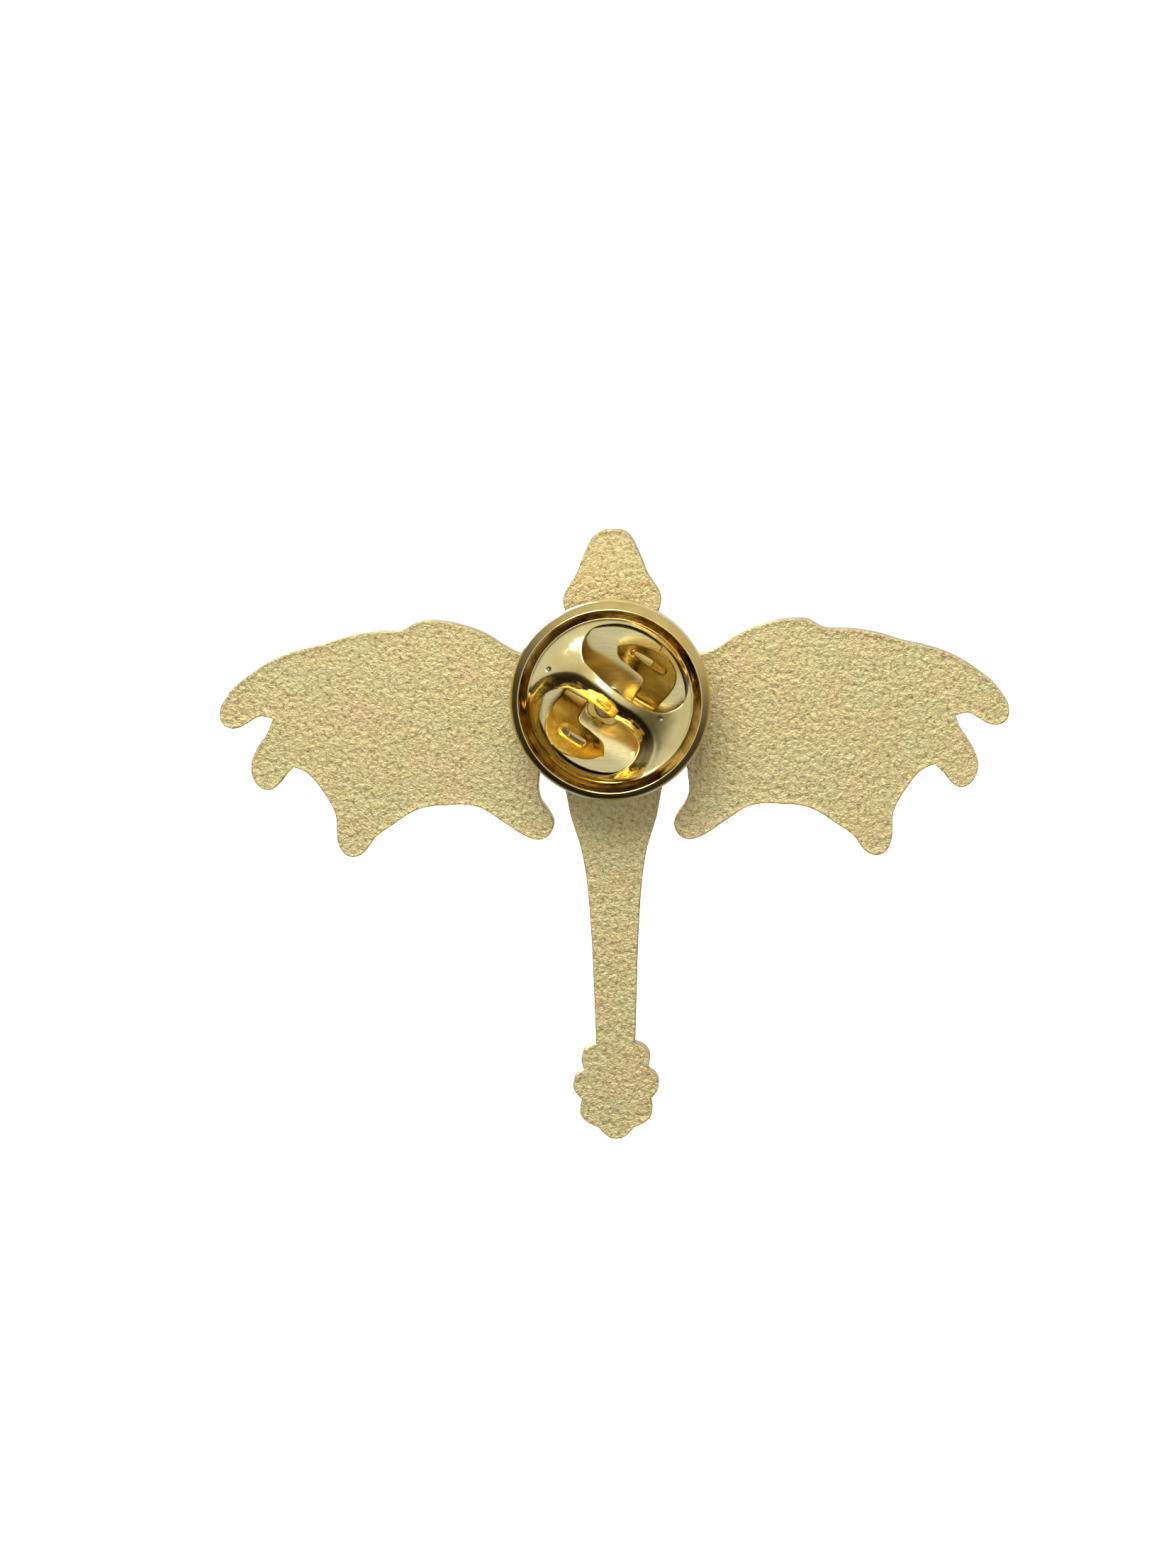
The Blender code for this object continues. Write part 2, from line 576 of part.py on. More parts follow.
make_plate()
make_enamel()
make_post()
make_solder()
make_base()
make_cap()
make_wing("clutch_wing_a", TONGUE_LEVELS[0], BLADE_REACH_A, WING_A_FRAME)
make_wing("clutch_wing_b", TONGUE_LEVELS[1], BLADE_REACH_B, WING_B_FRAME)
make_spring()
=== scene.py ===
"""A dragon-shaped lapel pin, seen from behind: its looks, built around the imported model."""
import json
import math

import bmesh
import bpy
import numpy as np
from mathutils import Matrix, Vector, kdtree, noise
from mathutils.geometry import delaunay_2d_cdt


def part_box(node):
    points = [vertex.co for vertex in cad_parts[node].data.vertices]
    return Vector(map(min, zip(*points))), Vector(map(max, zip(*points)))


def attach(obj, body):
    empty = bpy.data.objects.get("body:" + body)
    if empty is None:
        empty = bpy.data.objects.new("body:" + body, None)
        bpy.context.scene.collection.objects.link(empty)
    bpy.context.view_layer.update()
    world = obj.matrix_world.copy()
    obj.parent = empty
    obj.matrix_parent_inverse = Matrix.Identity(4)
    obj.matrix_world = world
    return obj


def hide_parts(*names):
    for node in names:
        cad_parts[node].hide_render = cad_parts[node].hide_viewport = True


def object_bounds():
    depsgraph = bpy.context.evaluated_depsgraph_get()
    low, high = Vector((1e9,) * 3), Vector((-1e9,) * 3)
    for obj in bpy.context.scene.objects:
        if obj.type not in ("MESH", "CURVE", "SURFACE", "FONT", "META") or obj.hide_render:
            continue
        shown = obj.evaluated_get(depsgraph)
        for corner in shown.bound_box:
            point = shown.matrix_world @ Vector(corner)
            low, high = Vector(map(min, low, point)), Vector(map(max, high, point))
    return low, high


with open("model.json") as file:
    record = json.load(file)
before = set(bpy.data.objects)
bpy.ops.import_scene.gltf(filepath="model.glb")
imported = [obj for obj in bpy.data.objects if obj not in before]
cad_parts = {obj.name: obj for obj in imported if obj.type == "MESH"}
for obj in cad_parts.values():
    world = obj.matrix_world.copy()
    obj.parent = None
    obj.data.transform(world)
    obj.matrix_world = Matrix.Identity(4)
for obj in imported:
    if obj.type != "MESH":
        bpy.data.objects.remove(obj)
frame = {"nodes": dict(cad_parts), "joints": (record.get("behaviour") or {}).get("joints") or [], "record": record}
CAD_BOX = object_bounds()

# ---------------------------------------------------------------------------------------------
# The setting: a pale floor well below the pin, a tent of soft light round it, and a soft box on
# either side. The camera looks at the pin's back, where the clutch is.

MM = 0.001
CAMERA_DISTANCE = 220 * MM
CAMERA_ASIDE = math.radians(2.2)
CAMERA_ABOVE = math.radians(6.35)
CAMERA_ROLL = math.radians(-0.5)
VIEW_HEIGHT = 88.5 * MM
VIEW_CENTRE = Vector((1.44, 0.0, -5.12)) * MM
FLOOR_DROP = 34 * MM
FLOOR_SIZE = 80.0
SENSOR_WIDTH = 36.0
BOX_DISTANCE = 0.6
BOX_SIZE = 0.3
# Tones of the tent, by how far a direction turns towards the back of the pin, and upwards
TENT = (
    (0.0, (0.5, 0.52, 0.55, 1.0)), (0.12, (0.36, 0.36, 0.36, 1.0)), (0.25, (0.03, 0.03, 0.03, 1.0)),
    (0.35, (0.0, 0.0, 0.0, 1.0)), (0.55, (0.0, 0.0, 0.0, 1.0)), (0.70, (0.05, 0.05, 0.045, 1.0)),
    (0.80, (0.20, 0.20, 0.20, 1.0)), (0.90, (0.56, 0.59, 0.64, 1.0)), (1.0, (0.62, 0.66, 0.74, 1.0)),
)
SIDES = ((0.0, (0.012, 0.010, 0.008, 1.0)), (0.42, (0.075, 0.065, 0.05, 1.0)),
         (0.60, (0.20, 0.18, 0.15, 1.0)), (0.82, (0.55, 0.50, 0.42, 1.0)), (1.0, (0.66, 0.61, 0.52, 1.0)))


def hex_colour(code):
    """A linear colour from an sRGB hex code."""
    parts = [int(code[i:i + 2], 16) / 255 for i in (1, 3, 5)]
    return [c / 12.92 if c <= 0.04045 else ((c + 0.055) / 1.055) ** 2.4 for c in parts] + [1.0]


def add(tree, kind, inputs=None, **settings):
    """One node; inputs gives each socket, by name or number, a value or another node's output."""
    made = tree.nodes.new(kind)
    for name, value in settings.items():
        setattr(made, name, value)
    for socket, value in (inputs or {}).items():
        if isinstance(value, bpy.types.NodeSocket):
            tree.links.new(value, made.inputs[socket])
        else:
            made.inputs[socket].default_value = value
    return made


def ramp(tree, factor, *stops):
    """A colour ramp with stops of (position, colour)."""
    made = add(tree, "ShaderNodeValToRGB", {"Fac": factor})
    points = made.color_ramp.elements
    while len(points) < len(stops):
        points.new(1.0)
    for point, (position, colour) in zip(points, stops):
        point.position = position
        point.color = colour
    return made.outputs["Color"]


def new_finish(name, **settings):
    """A material with only a Principled shader, and that shader's plain settings."""
    material = bpy.data.materials.new(name)
    material.use_nodes = True
    shader = material.node_tree.nodes["Principled BSDF"]
    for socket, value in settings.items():
        shader.inputs[socket.replace("_", " ")].default_value = value
    return material, material.node_tree, shader


def set_camera():
    camera = bpy.data.objects.new("camera", bpy.data.cameras.new("camera"))
    bpy.context.scene.collection.objects.link(camera)
    aside = (-math.sin(CAMERA_ASIDE), math.cos(CAMERA_ASIDE))
    away = Vector((aside[0] * math.cos(CAMERA_ABOVE), aside[1] * math.cos(CAMERA_ABOVE),
                   math.sin(CAMERA_ABOVE)))
    camera.location = VIEW_CENTRE + away * CAMERA_DISTANCE
    camera.rotation_mode = "QUATERNION"
    turn = Matrix.Rotation(CAMERA_ROLL, 3, "Z")
    camera.rotation_quaternion = ((-away).to_track_quat("-Z", "Y").to_matrix() @ turn).to_quaternion()
    camera.data.sensor_width = SENSOR_WIDTH
    camera.data.lens = SENSOR_WIDTH * CAMERA_DISTANCE / VIEW_HEIGHT
    camera.data.clip_start = 0.01
    bpy.context.scene.camera = camera


def make_floor():
    level = CAD_BOX[0].z - FLOOR_DROP
    bpy.ops.mesh.primitive_plane_add(size=FLOOR_SIZE, location=(0.0, 0.0, level))
    floor = bpy.context.object
    floor.name = "floor"
    material, _, shader = new_finish("white_paper", Roughness=0.9)
    shader.inputs["Base Color"].default_value = hex_colour("#F4F4F2")
    shader.inputs["Emission Color"].default_value = hex_colour("#FFFFFF")
    shader.inputs["Emission Strength"].default_value = 0.9
    floor.data.materials.append(material)
    floor.visible_glossy = False


def soft_box(name, direction, power, colour):
    """A square area light that faces the pin."""
    light = bpy.data.lights.new(name, "AREA")
    light.size = BOX_SIZE
    light.energy = power
    light.color = hex_colour(colour)[:3]
    lamp = bpy.data.objects.new(name, light)
    bpy.context.scene.collection.objects.link(lamp)
    lamp.location = Vector(direction).normalized() * BOX_DISTANCE
    lamp.rotation_euler = (-lamp.location).to_track_quat("-Z", "Y").to_euler()


def make_world():
    """A tent of soft light: bright behind the pin, dim round it, and darkest below."""
    world = bpy.data.worlds.new("tent")
    bpy.context.scene.world = world
    world.use_nodes = True
    tree = world.node_tree
    tree.nodes.clear()
    place = add(tree, "ShaderNodeTexCoord").outputs["Generated"]
    behind = add(tree, "ShaderNodeVectorMath", {0: place, 1: Vector((0.02, 0.98, 0.2)).normalized()},
                 operation="DOT_PRODUCT")
    above = add(tree, "ShaderNodeVectorMath", {0: place, 1: Vector((-0.3, -0.1, 0.95)).normalized()},
                operation="DOT_PRODUCT")
    facing = add(tree, "ShaderNodeMapRange", {"Value": behind.outputs["Value"], "From Min": -1.0})
    rising = add(tree, "ShaderNodeMapRange", {"Value": above.outputs["Value"], "From Min": -1.0})
    tent = ramp(tree, facing.outputs["Result"], *TENT)
    sides = ramp(tree, rising.outputs["Result"], *SIDES)
    both = add(tree, "ShaderNodeMix", {"Factor": 1.0, "A": tent, "B": sides}, data_type="RGBA",
               blend_type="ADD")
    seen = add(tree, "ShaderNodeLightPath").outputs["Is Camera Ray"]
    white = add(tree, "ShaderNodeMix", {"Factor": seen, "A": both.outputs["Result"],
                                        "B": hex_colour("#FFFFFF")}, data_type="RGBA")
    glow = add(tree, "ShaderNodeBackground", {"Color": white.outputs["Result"], "Strength": 1.0})
    add(tree, "ShaderNodeOutputWorld", {"Surface": glow.outputs["Background"]})


set_camera()
make_floor()
make_world()
soft_box("key", (0.12, 0.80, 0.60), 2.4, "#FFFFFF")
soft_box("front", (0.40, -0.75, 0.52), 1.7, "#FFF8F0")
bpy.context.scene.view_settings.view_transform = "Standard"

# ---------------------------------------------------------------------------------------------
# The plate: brass, struck in one piece with its front lines, then gold plated. Its back is
# sandblasted, its sides are as cut, and the tops of the front lines are polished.

GRAIN = 0.24
GRAIN_DEPTH = 0.028
BACK_SPACING = 0.13
FRONT_SPACING = 0.5
BACK_ROUND = 0.07
GRAIN_FADE = 0.3
LINE_ROUND = 0.06
FLAT_SPACING = 3.0
CELL_GAP = 0.02
LOOP_STEP = 0.11
SHARP_CORNER = math.radians(52)
SHARP_EDGE = math.radians(40)
WORLD = Matrix(((-MM, 0, 0, 0), (0, 0, MM, 0), (0, MM, 0, 0), (0, 0, 0, 1)))


def level_loops(node, level):
    """The closed outlines of a node's flat faces at one depth, in millimetres as seen from behind."""
    mesh = frame["nodes"][node].data
    places = [(round(v.co.x / MM, 4), round(v.co.z / MM, 4)) for v in mesh.vertices]
    edges = set()
    for face in mesh.polygons:
        if all(abs(mesh.vertices[i].co.y - level * MM) < 0.003 * MM for i in face.vertices):
            corners = [places[i] for i in face.vertices]
            for side in zip(corners, corners[1:] + corners[:1]):
                if side[::-1] in edges:
                    edges.remove(side[::-1])
                else:
                    edges.add(side)
    follow = dict(sorted(edges))
    loops = []
    while follow:
        start, here = follow.popitem()
        loop = [start]
        while here != start:
            loop.append(here)
            here = follow.pop(here)
        loops.append(np.array([(-x, y) for x, y in loop]))
    return sorted(loops, key=lambda loop: -np.ptp(loop[:, 0]))


def smooth_loop(knots, step, sharp=SHARP_CORNER):
    """A closed curve through the knots, sampled every step, that keeps its sharp corners."""
    before = knots - np.roll(knots, 1, 0)
    after = np.roll(knots, -1, 0) - knots
    reach_before = np.linalg.norm(before, axis=1, keepdims=True)
    reach_after = np.linalg.norm(after, axis=1, keepdims=True)
    arriving, leaving = before / reach_before, after / reach_after
    turn = np.arccos(np.clip((arriving * leaving).sum(1), -1.0, 1.0))
    mean = (arriving * reach_after + leaving * reach_before) / (reach_before + reach_after)
    mean /= np.linalg.norm(mean, axis=1, keepdims=True)
    out = np.where(turn[:, None] > sharp, leaving, mean)
    into = np.where(turn[:, None] > sharp, arriving, mean)
    points = []
    for i, knot in enumerate(knots):
        j = (i + 1) % len(knots)
        reach = reach_after[i][0]
        count = max(1, round(reach / step))
        for t in np.arange(count) / count:
            points.append((2 * t**3 - 3 * t**2 + 1) * knot + (t**3 - 2 * t**2 + t) * reach * out[i]
                          + (3 * t**2 - 2 * t**3) * knots[j] + (t**3 - t**2) * reach * into[j])
    return np.array(points)


def within(points, loops):
    """Whether each point lies within the loops, by the crossings of a line from it."""
    starts = np.vstack(loops)
    ends = np.vstack([np.roll(loop, -1, 0) for loop in loops])
    rise = np.where(ends[:, 1] == starts[:, 1], 1.0, ends[:, 1] - starts[:, 1])
    inside = []
    for x, y in points:
        crossed = (starts[:, 1] > y) != (ends[:, 1] > y)
        at = starts[:, 0] + (y - starts[:, 1]) * (ends[:, 0] - starts[:, 0]) / rise
        inside.append(np.count_nonzero(crossed & (at > x)) % 2 == 1)
    return np.array(inside, bool)


def grid_rows(loops, spacing):
    """Points of a close-packed grid within the loops, row by row."""
    starts = np.vstack(loops)
    ends = np.vstack([np.roll(loop, -1, 0) for loop in loops])
    points = []
    rows = np.arange(starts[:, 1].min() + spacing / 3, starts[:, 1].max(), spacing * 0.866)
    for row, y in enumerate(rows):
        crossed = (starts[:, 1] > y) != (ends[:, 1] > y)
        a, b = starts[crossed], ends[crossed]
        stops = np.sort(a[:, 0] + (y - a[:, 1]) * (b[:, 0] - a[:, 0]) / (b[:, 1] - a[:, 1]))
        shift = row % 2 / 2
        for left, right in zip(stops[::2], stops[1::2]):
            for column in range(math.ceil(left / spacing - shift), math.ceil(right / spacing - shift)):
                points.append(((column + shift) * spacing, y))
    return points


def fill(loops, spacing, rings):
    """Triangles within the loops. Gives the points, their depth from the edge, and the triangles.
    The loops' own points come first, then rings of points at each depth, then the grid."""
    edge = [tuple(p) for loop in loops for p in loop]
    tree = kdtree.KDTree(len(edge))
    for i, (x, y) in enumerate(edge):
        tree.insert((x, y, 0.0), i)
    tree.balance()
    points, depths = list(edge), [0.0] * len(edge)
    for depth in rings:
        near = []
        for loop in loops:
            along = np.roll(loop, -1, 0) - np.roll(loop, 1, 0)
            along /= np.maximum(np.linalg.norm(along, axis=1, keepdims=True), 1e-9)
            across = np.stack((-along[:, 1], along[:, 0]), 1) * depth
            near += [*(loop + across), *(loop - across)]
        near = [p for p in near if tree.find((p[0], p[1], 0.0))[2] > 0.93 * depth]
        if near:
            near = np.array(near)[within(near, loops)]
            points += [tuple(p) for p in near]
            depths += [depth] * len(near)
    nearest = (rings[-1] if rings else 0.0) + spacing / 2
    for x, y in grid_rows(loops, spacing):
        depth = tree.find((x, y, 0.0))[2]
        if depth > nearest:
            points.append((x, y))
            depths.append(depth)
    sides, first = [], 0
    for loop in loops:
        count = len(loop)
        sides += [(first + i, first + (i + 1) % count) for i in range(count)]
        first += count
    made = delaunay_2d_cdt([Vector(p) for p in points], sides, [], 0, 1e-6)
    places = np.array([tuple(p) for p in made[0]])
    source = [old[0] if old else -1 for old in made[3]]
    depth = np.array([depths[i] if i >= 0 else 0.0 for i in source])
    triangles = np.array(made[2])
    doubtful = (depth[triangles] == 0.0).all(1)
    keep = ~doubtful
    keep[doubtful] = within(places[triangles[doubtful]].mean(1), loops)
    return places, depth, triangles[keep]


def rounded(depth, radius):
    """How far a rounded edge falls at a depth from it."""
    inner = np.clip(radius - depth, 0.0, radius)
    return radius - np.sqrt(radius**2 - inner**2)


class Shape:
    """Points and faces gathered for one mesh, each face with its finish."""

    def __init__(self):
        self.points, self.faces, self.finishes = [], [], []

    def sheet(self, places, heights, triangles, finish, down=False):
        first = len(self.points)
        self.points += [(x, y, z) for (x, y), z in zip(places, heights)]
        for triangle in triangles:
            a, b, c = places[triangle]
            up = (b[0] - a[0]) * (c[1] - a[1]) - (b[1] - a[1]) * (c[0] - a[0]) > 0
            order = triangle if up != down else triangle[::-1]
            self.faces.append([first + int(i) for i in order])
            self.finishes.append(finish)

    def wall(self, loop, tops, bottoms, finish, rows=3):
        """Rows of faces down a closed loop, from one height to the other."""
        first, count = len(self.points), len(loop)
        for row in range(rows + 1):
            share = row / rows
            self.points += [(x, y, a + (b - a) * share) for (x, y), a, b in zip(loop, tops, bottoms)]
        for row in range(rows):
            for i in range(count):
                j = (i + 1) % count
                upper, lower = first + row * count, first + (row + 1) * count
                self.faces.append([upper + i, lower + i, lower + j, upper + j])
                self.finishes.append(finish)

    def build(self, name, finishes, matrix=WORLD, weld=0.0005):
        mesh = bpy.data.meshes.new(name)
        mesh.from_pydata(self.points, [], self.faces)
        mesh.polygons.foreach_set("material_index", self.finishes)
        shape = bmesh.new()
        shape.from_mesh(mesh)
        bmesh.ops.remove_doubles(shape, verts=shape.verts, dist=weld)
        bmesh.ops.dissolve_degenerate(shape, edges=shape.edges, dist=weld / 5)
        bmesh.ops.recalc_face_normals(shape, faces=shape.faces)
        shape.to_mesh(mesh)
        shape.free()
        mesh.transform(matrix)
        for finish in finishes:
            mesh.materials.append(finish)
        mesh.shade_smooth()
        mesh.set_sharp_from_angle(angle=SHARP_EDGE)
        piece = bpy.data.objects.new(name, mesh)
        bpy.context.scene.collection.objects.link(piece)
        return piece


def blasted_gold():
    """Sandblasted brass, pale gold plated, with overlapping pits: painted shade darkens the low creases and a
    painted highlight lights the high grains.
    """
    material, tree, shader = new_finish("sandblasted_pale_gold_plate", Metallic=1.0)
    place = add(tree, "ShaderNodeTexCoord").outputs["Object"]
    pits = add(tree, "ShaderNodeTexNoise", {"Vector": place, "Scale": 1 / (GRAIN * MM), "Detail": 4.0,
                                            "Roughness": 0.62, "Distortion": 0.4})
    fine = add(tree, "ShaderNodeTexNoise", {"Vector": place, "Scale": 2.4 / (GRAIN * MM), "Detail": 3.0})
    creases = add(tree, "ShaderNodeTexVoronoi", {"Vector": place, "Scale": 0.8 / (GRAIN * MM)},
                  feature="DISTANCE_TO_EDGE")
    broad = add(tree, "ShaderNodeTexNoise", {"Vector": place, "Scale": 1 / (2.6 * MM), "Detail": 2.0})
    tint = ramp(tree, broad.outputs["Fac"], (0.3, hex_colour("#E2D9A6")), (0.55, hex_colour("#E6D5A2")),
                (0.75, hex_colour("#E9D2A6")))
    # Painted light and shade: the pit noise that raises the grains also makes them paler and the creases darker in
    # the colour itself.
    shade = ramp(tree, pits.outputs["Fac"], (0.28, hex_colour("#8E8256")), (0.47, hex_colour("#E8E2CC")),
                 (0.7, hex_colour("#FFFFFF")))
    colour = add(tree, "ShaderNodeMix", {"Factor": 0.75, "A": tint, "B": shade}, data_type="RGBA",
                 blend_type="MULTIPLY")
    tree.links.new(colour.outputs["Result"], shader.inputs["Base Color"])
    rough = add(tree, "ShaderNodeMapRange", {"Value": fine.outputs["Fac"], "To Min": 0.42, "To Max": 0.6})
    tree.links.new(rough.outputs["Result"], shader.inputs["Roughness"])
    edge = add(tree, "ShaderNodeMapRange", {"Value": creases.outputs["Distance"], "From Max": 0.12})
    first = add(tree, "ShaderNodeBump", {"Height": edge.outputs["Result"], "Strength": 0.35,
                                         "Distance": 0.012 * MM})
    second = add(tree, "ShaderNodeBump", {"Height": pits.outputs["Fac"], "Strength": 0.9,
                                          "Distance": 0.09 * MM, "Normal": first.outputs["Normal"]})
    third = add(tree, "ShaderNodeBump", {"Height": fine.outputs["Fac"], "Strength": 0.6,
                                         "Distance": 0.03 * MM, "Normal": second.outputs["Normal"]})
    tree.links.new(third.outputs["Normal"], shader.inputs["Normal"])
    return material


def edge_gold():
    """The cut side of the plate: smooth, with fine lines left by the die."""
    material, tree, shader = new_finish("struck_edge_gold_plate", Metallic=1.0, Roughness=0.5)
    place = add(tree, "ShaderNodeTexCoord").outputs["Object"]
    along = add(tree, "ShaderNodeMapping", {"Vector": place,
                                            "Scale": (9000.0, 900.0, 9000.0)})
    lines = add(tree, "ShaderNodeTexNoise", {"Vector": along.outputs["Vector"], "Scale": 1.0, "Detail": 2.0})
    tint = ramp(tree, lines.outputs["Fac"], (0.3, hex_colour("#C9BA94")), (0.7, hex_colour("#E0D2A8")))
    tree.links.new(tint, shader.inputs["Base Color"])
    bump = add(tree, "ShaderNodeBump", {"Height": lines.outputs["Fac"], "Strength": 0.2,
                                        "Distance": 0.01 * MM})
    tree.links.new(bump.outputs["Normal"], shader.inputs["Normal"])
    return material


def polished_gold(name, tint, darker, rough, wave):
    """Bright gold plate on a polished blank: mirror-like, with faint haze and the sheet's waviness."""
    material, tree, shader = new_finish(name, Metallic=1.0)
    place = add(tree, "ShaderNodeTexCoord").outputs["Object"]
    cloud = add(tree, "ShaderNodeTexNoise", {"Vector": place, "Scale": 1 / (1.1 * MM), "Detail": 3.0})
    colour = ramp(tree, cloud.outputs["Fac"], (0.35, hex_colour(darker)), (0.62, hex_colour(tint)))
    tree.links.new(colour, shader.inputs["Base Color"])
    haze = add(tree, "ShaderNodeTexNoise", {"Vector": place, "Scale": 1 / (0.35 * MM), "Detail": 4.0})
    polish = add(tree, "ShaderNodeMapRange", {"Value": haze.outputs["Fac"], "From Min": 0.35,
                                              "From Max": 0.75, "To Min": rough, "To Max": rough * 2.2})
    tree.links.new(polish.outputs["Result"], shader.inputs["Roughness"])
    waves = add(tree, "ShaderNodeTexNoise", {"Vector": place, "Scale": 1 / (0.7 * MM), "Detail": 1.0})
    bump = add(tree, "ShaderNodeBump", {"Height": waves.outputs["Fac"], "Strength": 0.5,
                                        "Distance": wave * MM})
    tree.links.new(bump.outputs["Normal"], shader.inputs["Normal"])
    return material


LINE_GOLD = polished_gold("polished_line_gold_plate", "#F3E09E", "#E6CE88", 0.12, 0.01)


def blasted_relief(x, y):
    """Height of the sandblasted face: two sizes of overlapping pits."""
    wide = noise.noise(Vector((x, y, 0.0)) / GRAIN / 1.6)
    narrow = noise.noise(Vector((x, y, 7.0)) / GRAIN)
    return GRAIN_DEPTH * (0.6 * wide + 0.6 * narrow)


def make_plate():
    low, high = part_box("dragon_plate")
    front = low.y / MM
    outline = smooth_loop(level_loops("dragon_plate", 0.0)[0], LOOP_STEP)
    outline = np.clip(outline, (-high.x / MM, low.z / MM), (-low.x / MM, high.z / MM))
    places, depth, triangles = fill([outline], BACK_SPACING, (0.02, 0.05, BACK_ROUND))
    fade = np.clip(depth / GRAIN_FADE, 0.0, 1.0)
    relief = np.array([blasted_relief(x, y) for x, y in places]) - GRAIN_DEPTH
    shape = Shape()
    shape.sheet(places, relief * fade - rounded(depth, BACK_ROUND), triangles, 0)
    outer, *cells = [smooth_loop(loop, LOOP_STEP) for loop in level_loops("dragon_plate", front)]
    places, depth, triangles = fill([outline, *cells], FRONT_SPACING, (0.015, 0.04, LINE_ROUND))
    shape.sheet(places, front + rounded(depth, LINE_ROUND), triangles, 2, down=True)
    count = len(outline)
    shape.wall(outline, [-BACK_ROUND] * count, [front + LINE_ROUND] * count, 1)
    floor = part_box("enamel_crown")[1].y / MM + CELL_GAP
    for cell in cells:
        count = len(cell)
        shape.wall(cell, [front + LINE_ROUND] * count, [floor] * count, 2, rows=1)
    places, _, triangles = fill(cells, FLAT_SPACING, ())
    shape.sheet(places, [floor] * len(places), triangles, 2, down=True)
    plate = shape.build("struck_plate", [blasted_gold(), edge_gold(), LINE_GOLD])
    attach(plate, "badge")
    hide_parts("dragon_plate")


make_plate()

# ---------------------------------------------------------------------------------------------
# The colours: soft enamel, run wet into each cell of the front and baked. It dries a little
# lower than the metal lines, and hangs up at its edges.

ENAMEL_DISH = 0.07
ENAMEL_EDGE = 0.22
ENAMEL_HANG = 1.5
ENAMEL_SPACING = 0.35
ENAMEL_COLOURS = {
    "enamel_bone": ("#7A1420", "#6A1019"), "enamel_membrane": ("#B01E22", "#A0181C"),
    "enamel_body": ("#2A2F3A", "#232731"), "enamel_scale": ("#4C5563", "#434B58"),
    "enamel_amber": ("#E8A81C", "#C98408"),
}


def soft_enamel(name):
    """Baked resin enamel: glossy and opaque, with a slight orange peel and settled pigment."""
    pale, deep = ENAMEL_COLOURS[name]
    material, tree, shader = new_finish("soft_" + name, Roughness=0.14, IOR=1.52, Coat_Weight=0.3,
                                        Coat_Roughness=0.06)
    place = add(tree, "ShaderNodeTexCoord").outputs["Object"]
    settled = add(tree, "ShaderNodeTexNoise", {"Vector": place, "Scale": 1 / (0.9 * MM), "Detail": 4.0})
    colour = ramp(tree, settled.outputs["Fac"], (0.35, hex_colour(deep)), (0.65, hex_colour(pale)))
    tree.links.new(colour, shader.inputs["Base Color"])
    peel = add(tree, "ShaderNodeTexNoise", {"Vector": place, "Scale": 1 / (0.6 * MM), "Detail": 1.0})
    bump = add(tree, "ShaderNodeBump", {"Height": peel.outputs["Fac"], "Strength": 0.25,
                                        "Distance": 0.02 * MM})
    tree.links.new(bump.outputs["Normal"], shader.inputs["Normal"])
    return material


def make_enamels():
    finishes = {name: soft_enamel(name) for name in ENAMEL_COLOURS}
    slots = {part["node"]: part["material_slot"] for part in frame["record"]["subparts"]}
    for node in sorted(frame["nodes"]):
        if not node.startswith("enamel_"):
            continue
        surface, back = (corner.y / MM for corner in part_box(node))
        loops = [smooth_loop(loop, LOOP_STEP) for loop in level_loops(node, surface)]
        places, depth, triangles = fill(loops, ENAMEL_SPACING, (0.05, 0.13, ENAMEL_EDGE))
        dish = ENAMEL_DISH * (1.0 - np.exp(-depth / ENAMEL_EDGE * ENAMEL_HANG))
        shape = Shape()
        shape.sheet(places, surface + dish, triangles, 0, down=True)
        for loop in loops:
            shape.wall(loop, [back] * len(loop), [surface] * len(loop), 0, rows=1)
        places, _, triangles = fill(loops, FLAT_SPACING, ())
        shape.sheet(places, [back] * len(places), triangles, 0)
        piece = shape.build("baked_" + node, [finishes[slots[node]]])
        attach(piece, "badge")
        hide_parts(node)


make_enamels()

# ---------------------------------------------------------------------------------------------
# The tack post: drawn steel wire, headed and turned to a point, nickel plated. Tin solder runs
# in a fillet round its head, and holds it to the plate.

TURN_STEPS = 96
POST_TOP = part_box("tack_post")[1].y / MM
POST_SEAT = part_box("tack_post")[0].y / MM
HEAD_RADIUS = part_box("tack_post")[1].x / MM
POST_RADIUS = 0.55
POST_POINT = 1.3
POST_HEAD = 0.3
GROOVE_GAP = 0.35


def lathe(profile, steps=TURN_STEPS):
    """A closed profile of (radius, height) points, turned about the clutch's axis."""
    shape = Shape()
    count = len(profile)
    angles = [math.tau * i / steps for i in range(steps)]
    for radius, height in profile:
        shape.points += [(radius * math.cos(a), radius * math.sin(a), height) for a in angles]
    for ring in range(count):
        after = (ring + 1) % count
        if profile[ring][0] == profile[after][0] == 0.0:
            continue
        for i in range(steps):
            j = (i + 1) % steps
            shape.faces.append([ring * steps + i, after * steps + i, after * steps + j, ring * steps + j])
            shape.finishes.append(0)
    return shape


def bend(centre, radius, start, end, count=6):
    """Points of an arc in a profile, in degrees."""
    angles = [math.radians(start + (end - start) * i / (count - 1)) for i in range(count)]
    return [(centre[0] + radius * math.cos(a), centre[1] + radius * math.sin(a)) for a in angles]


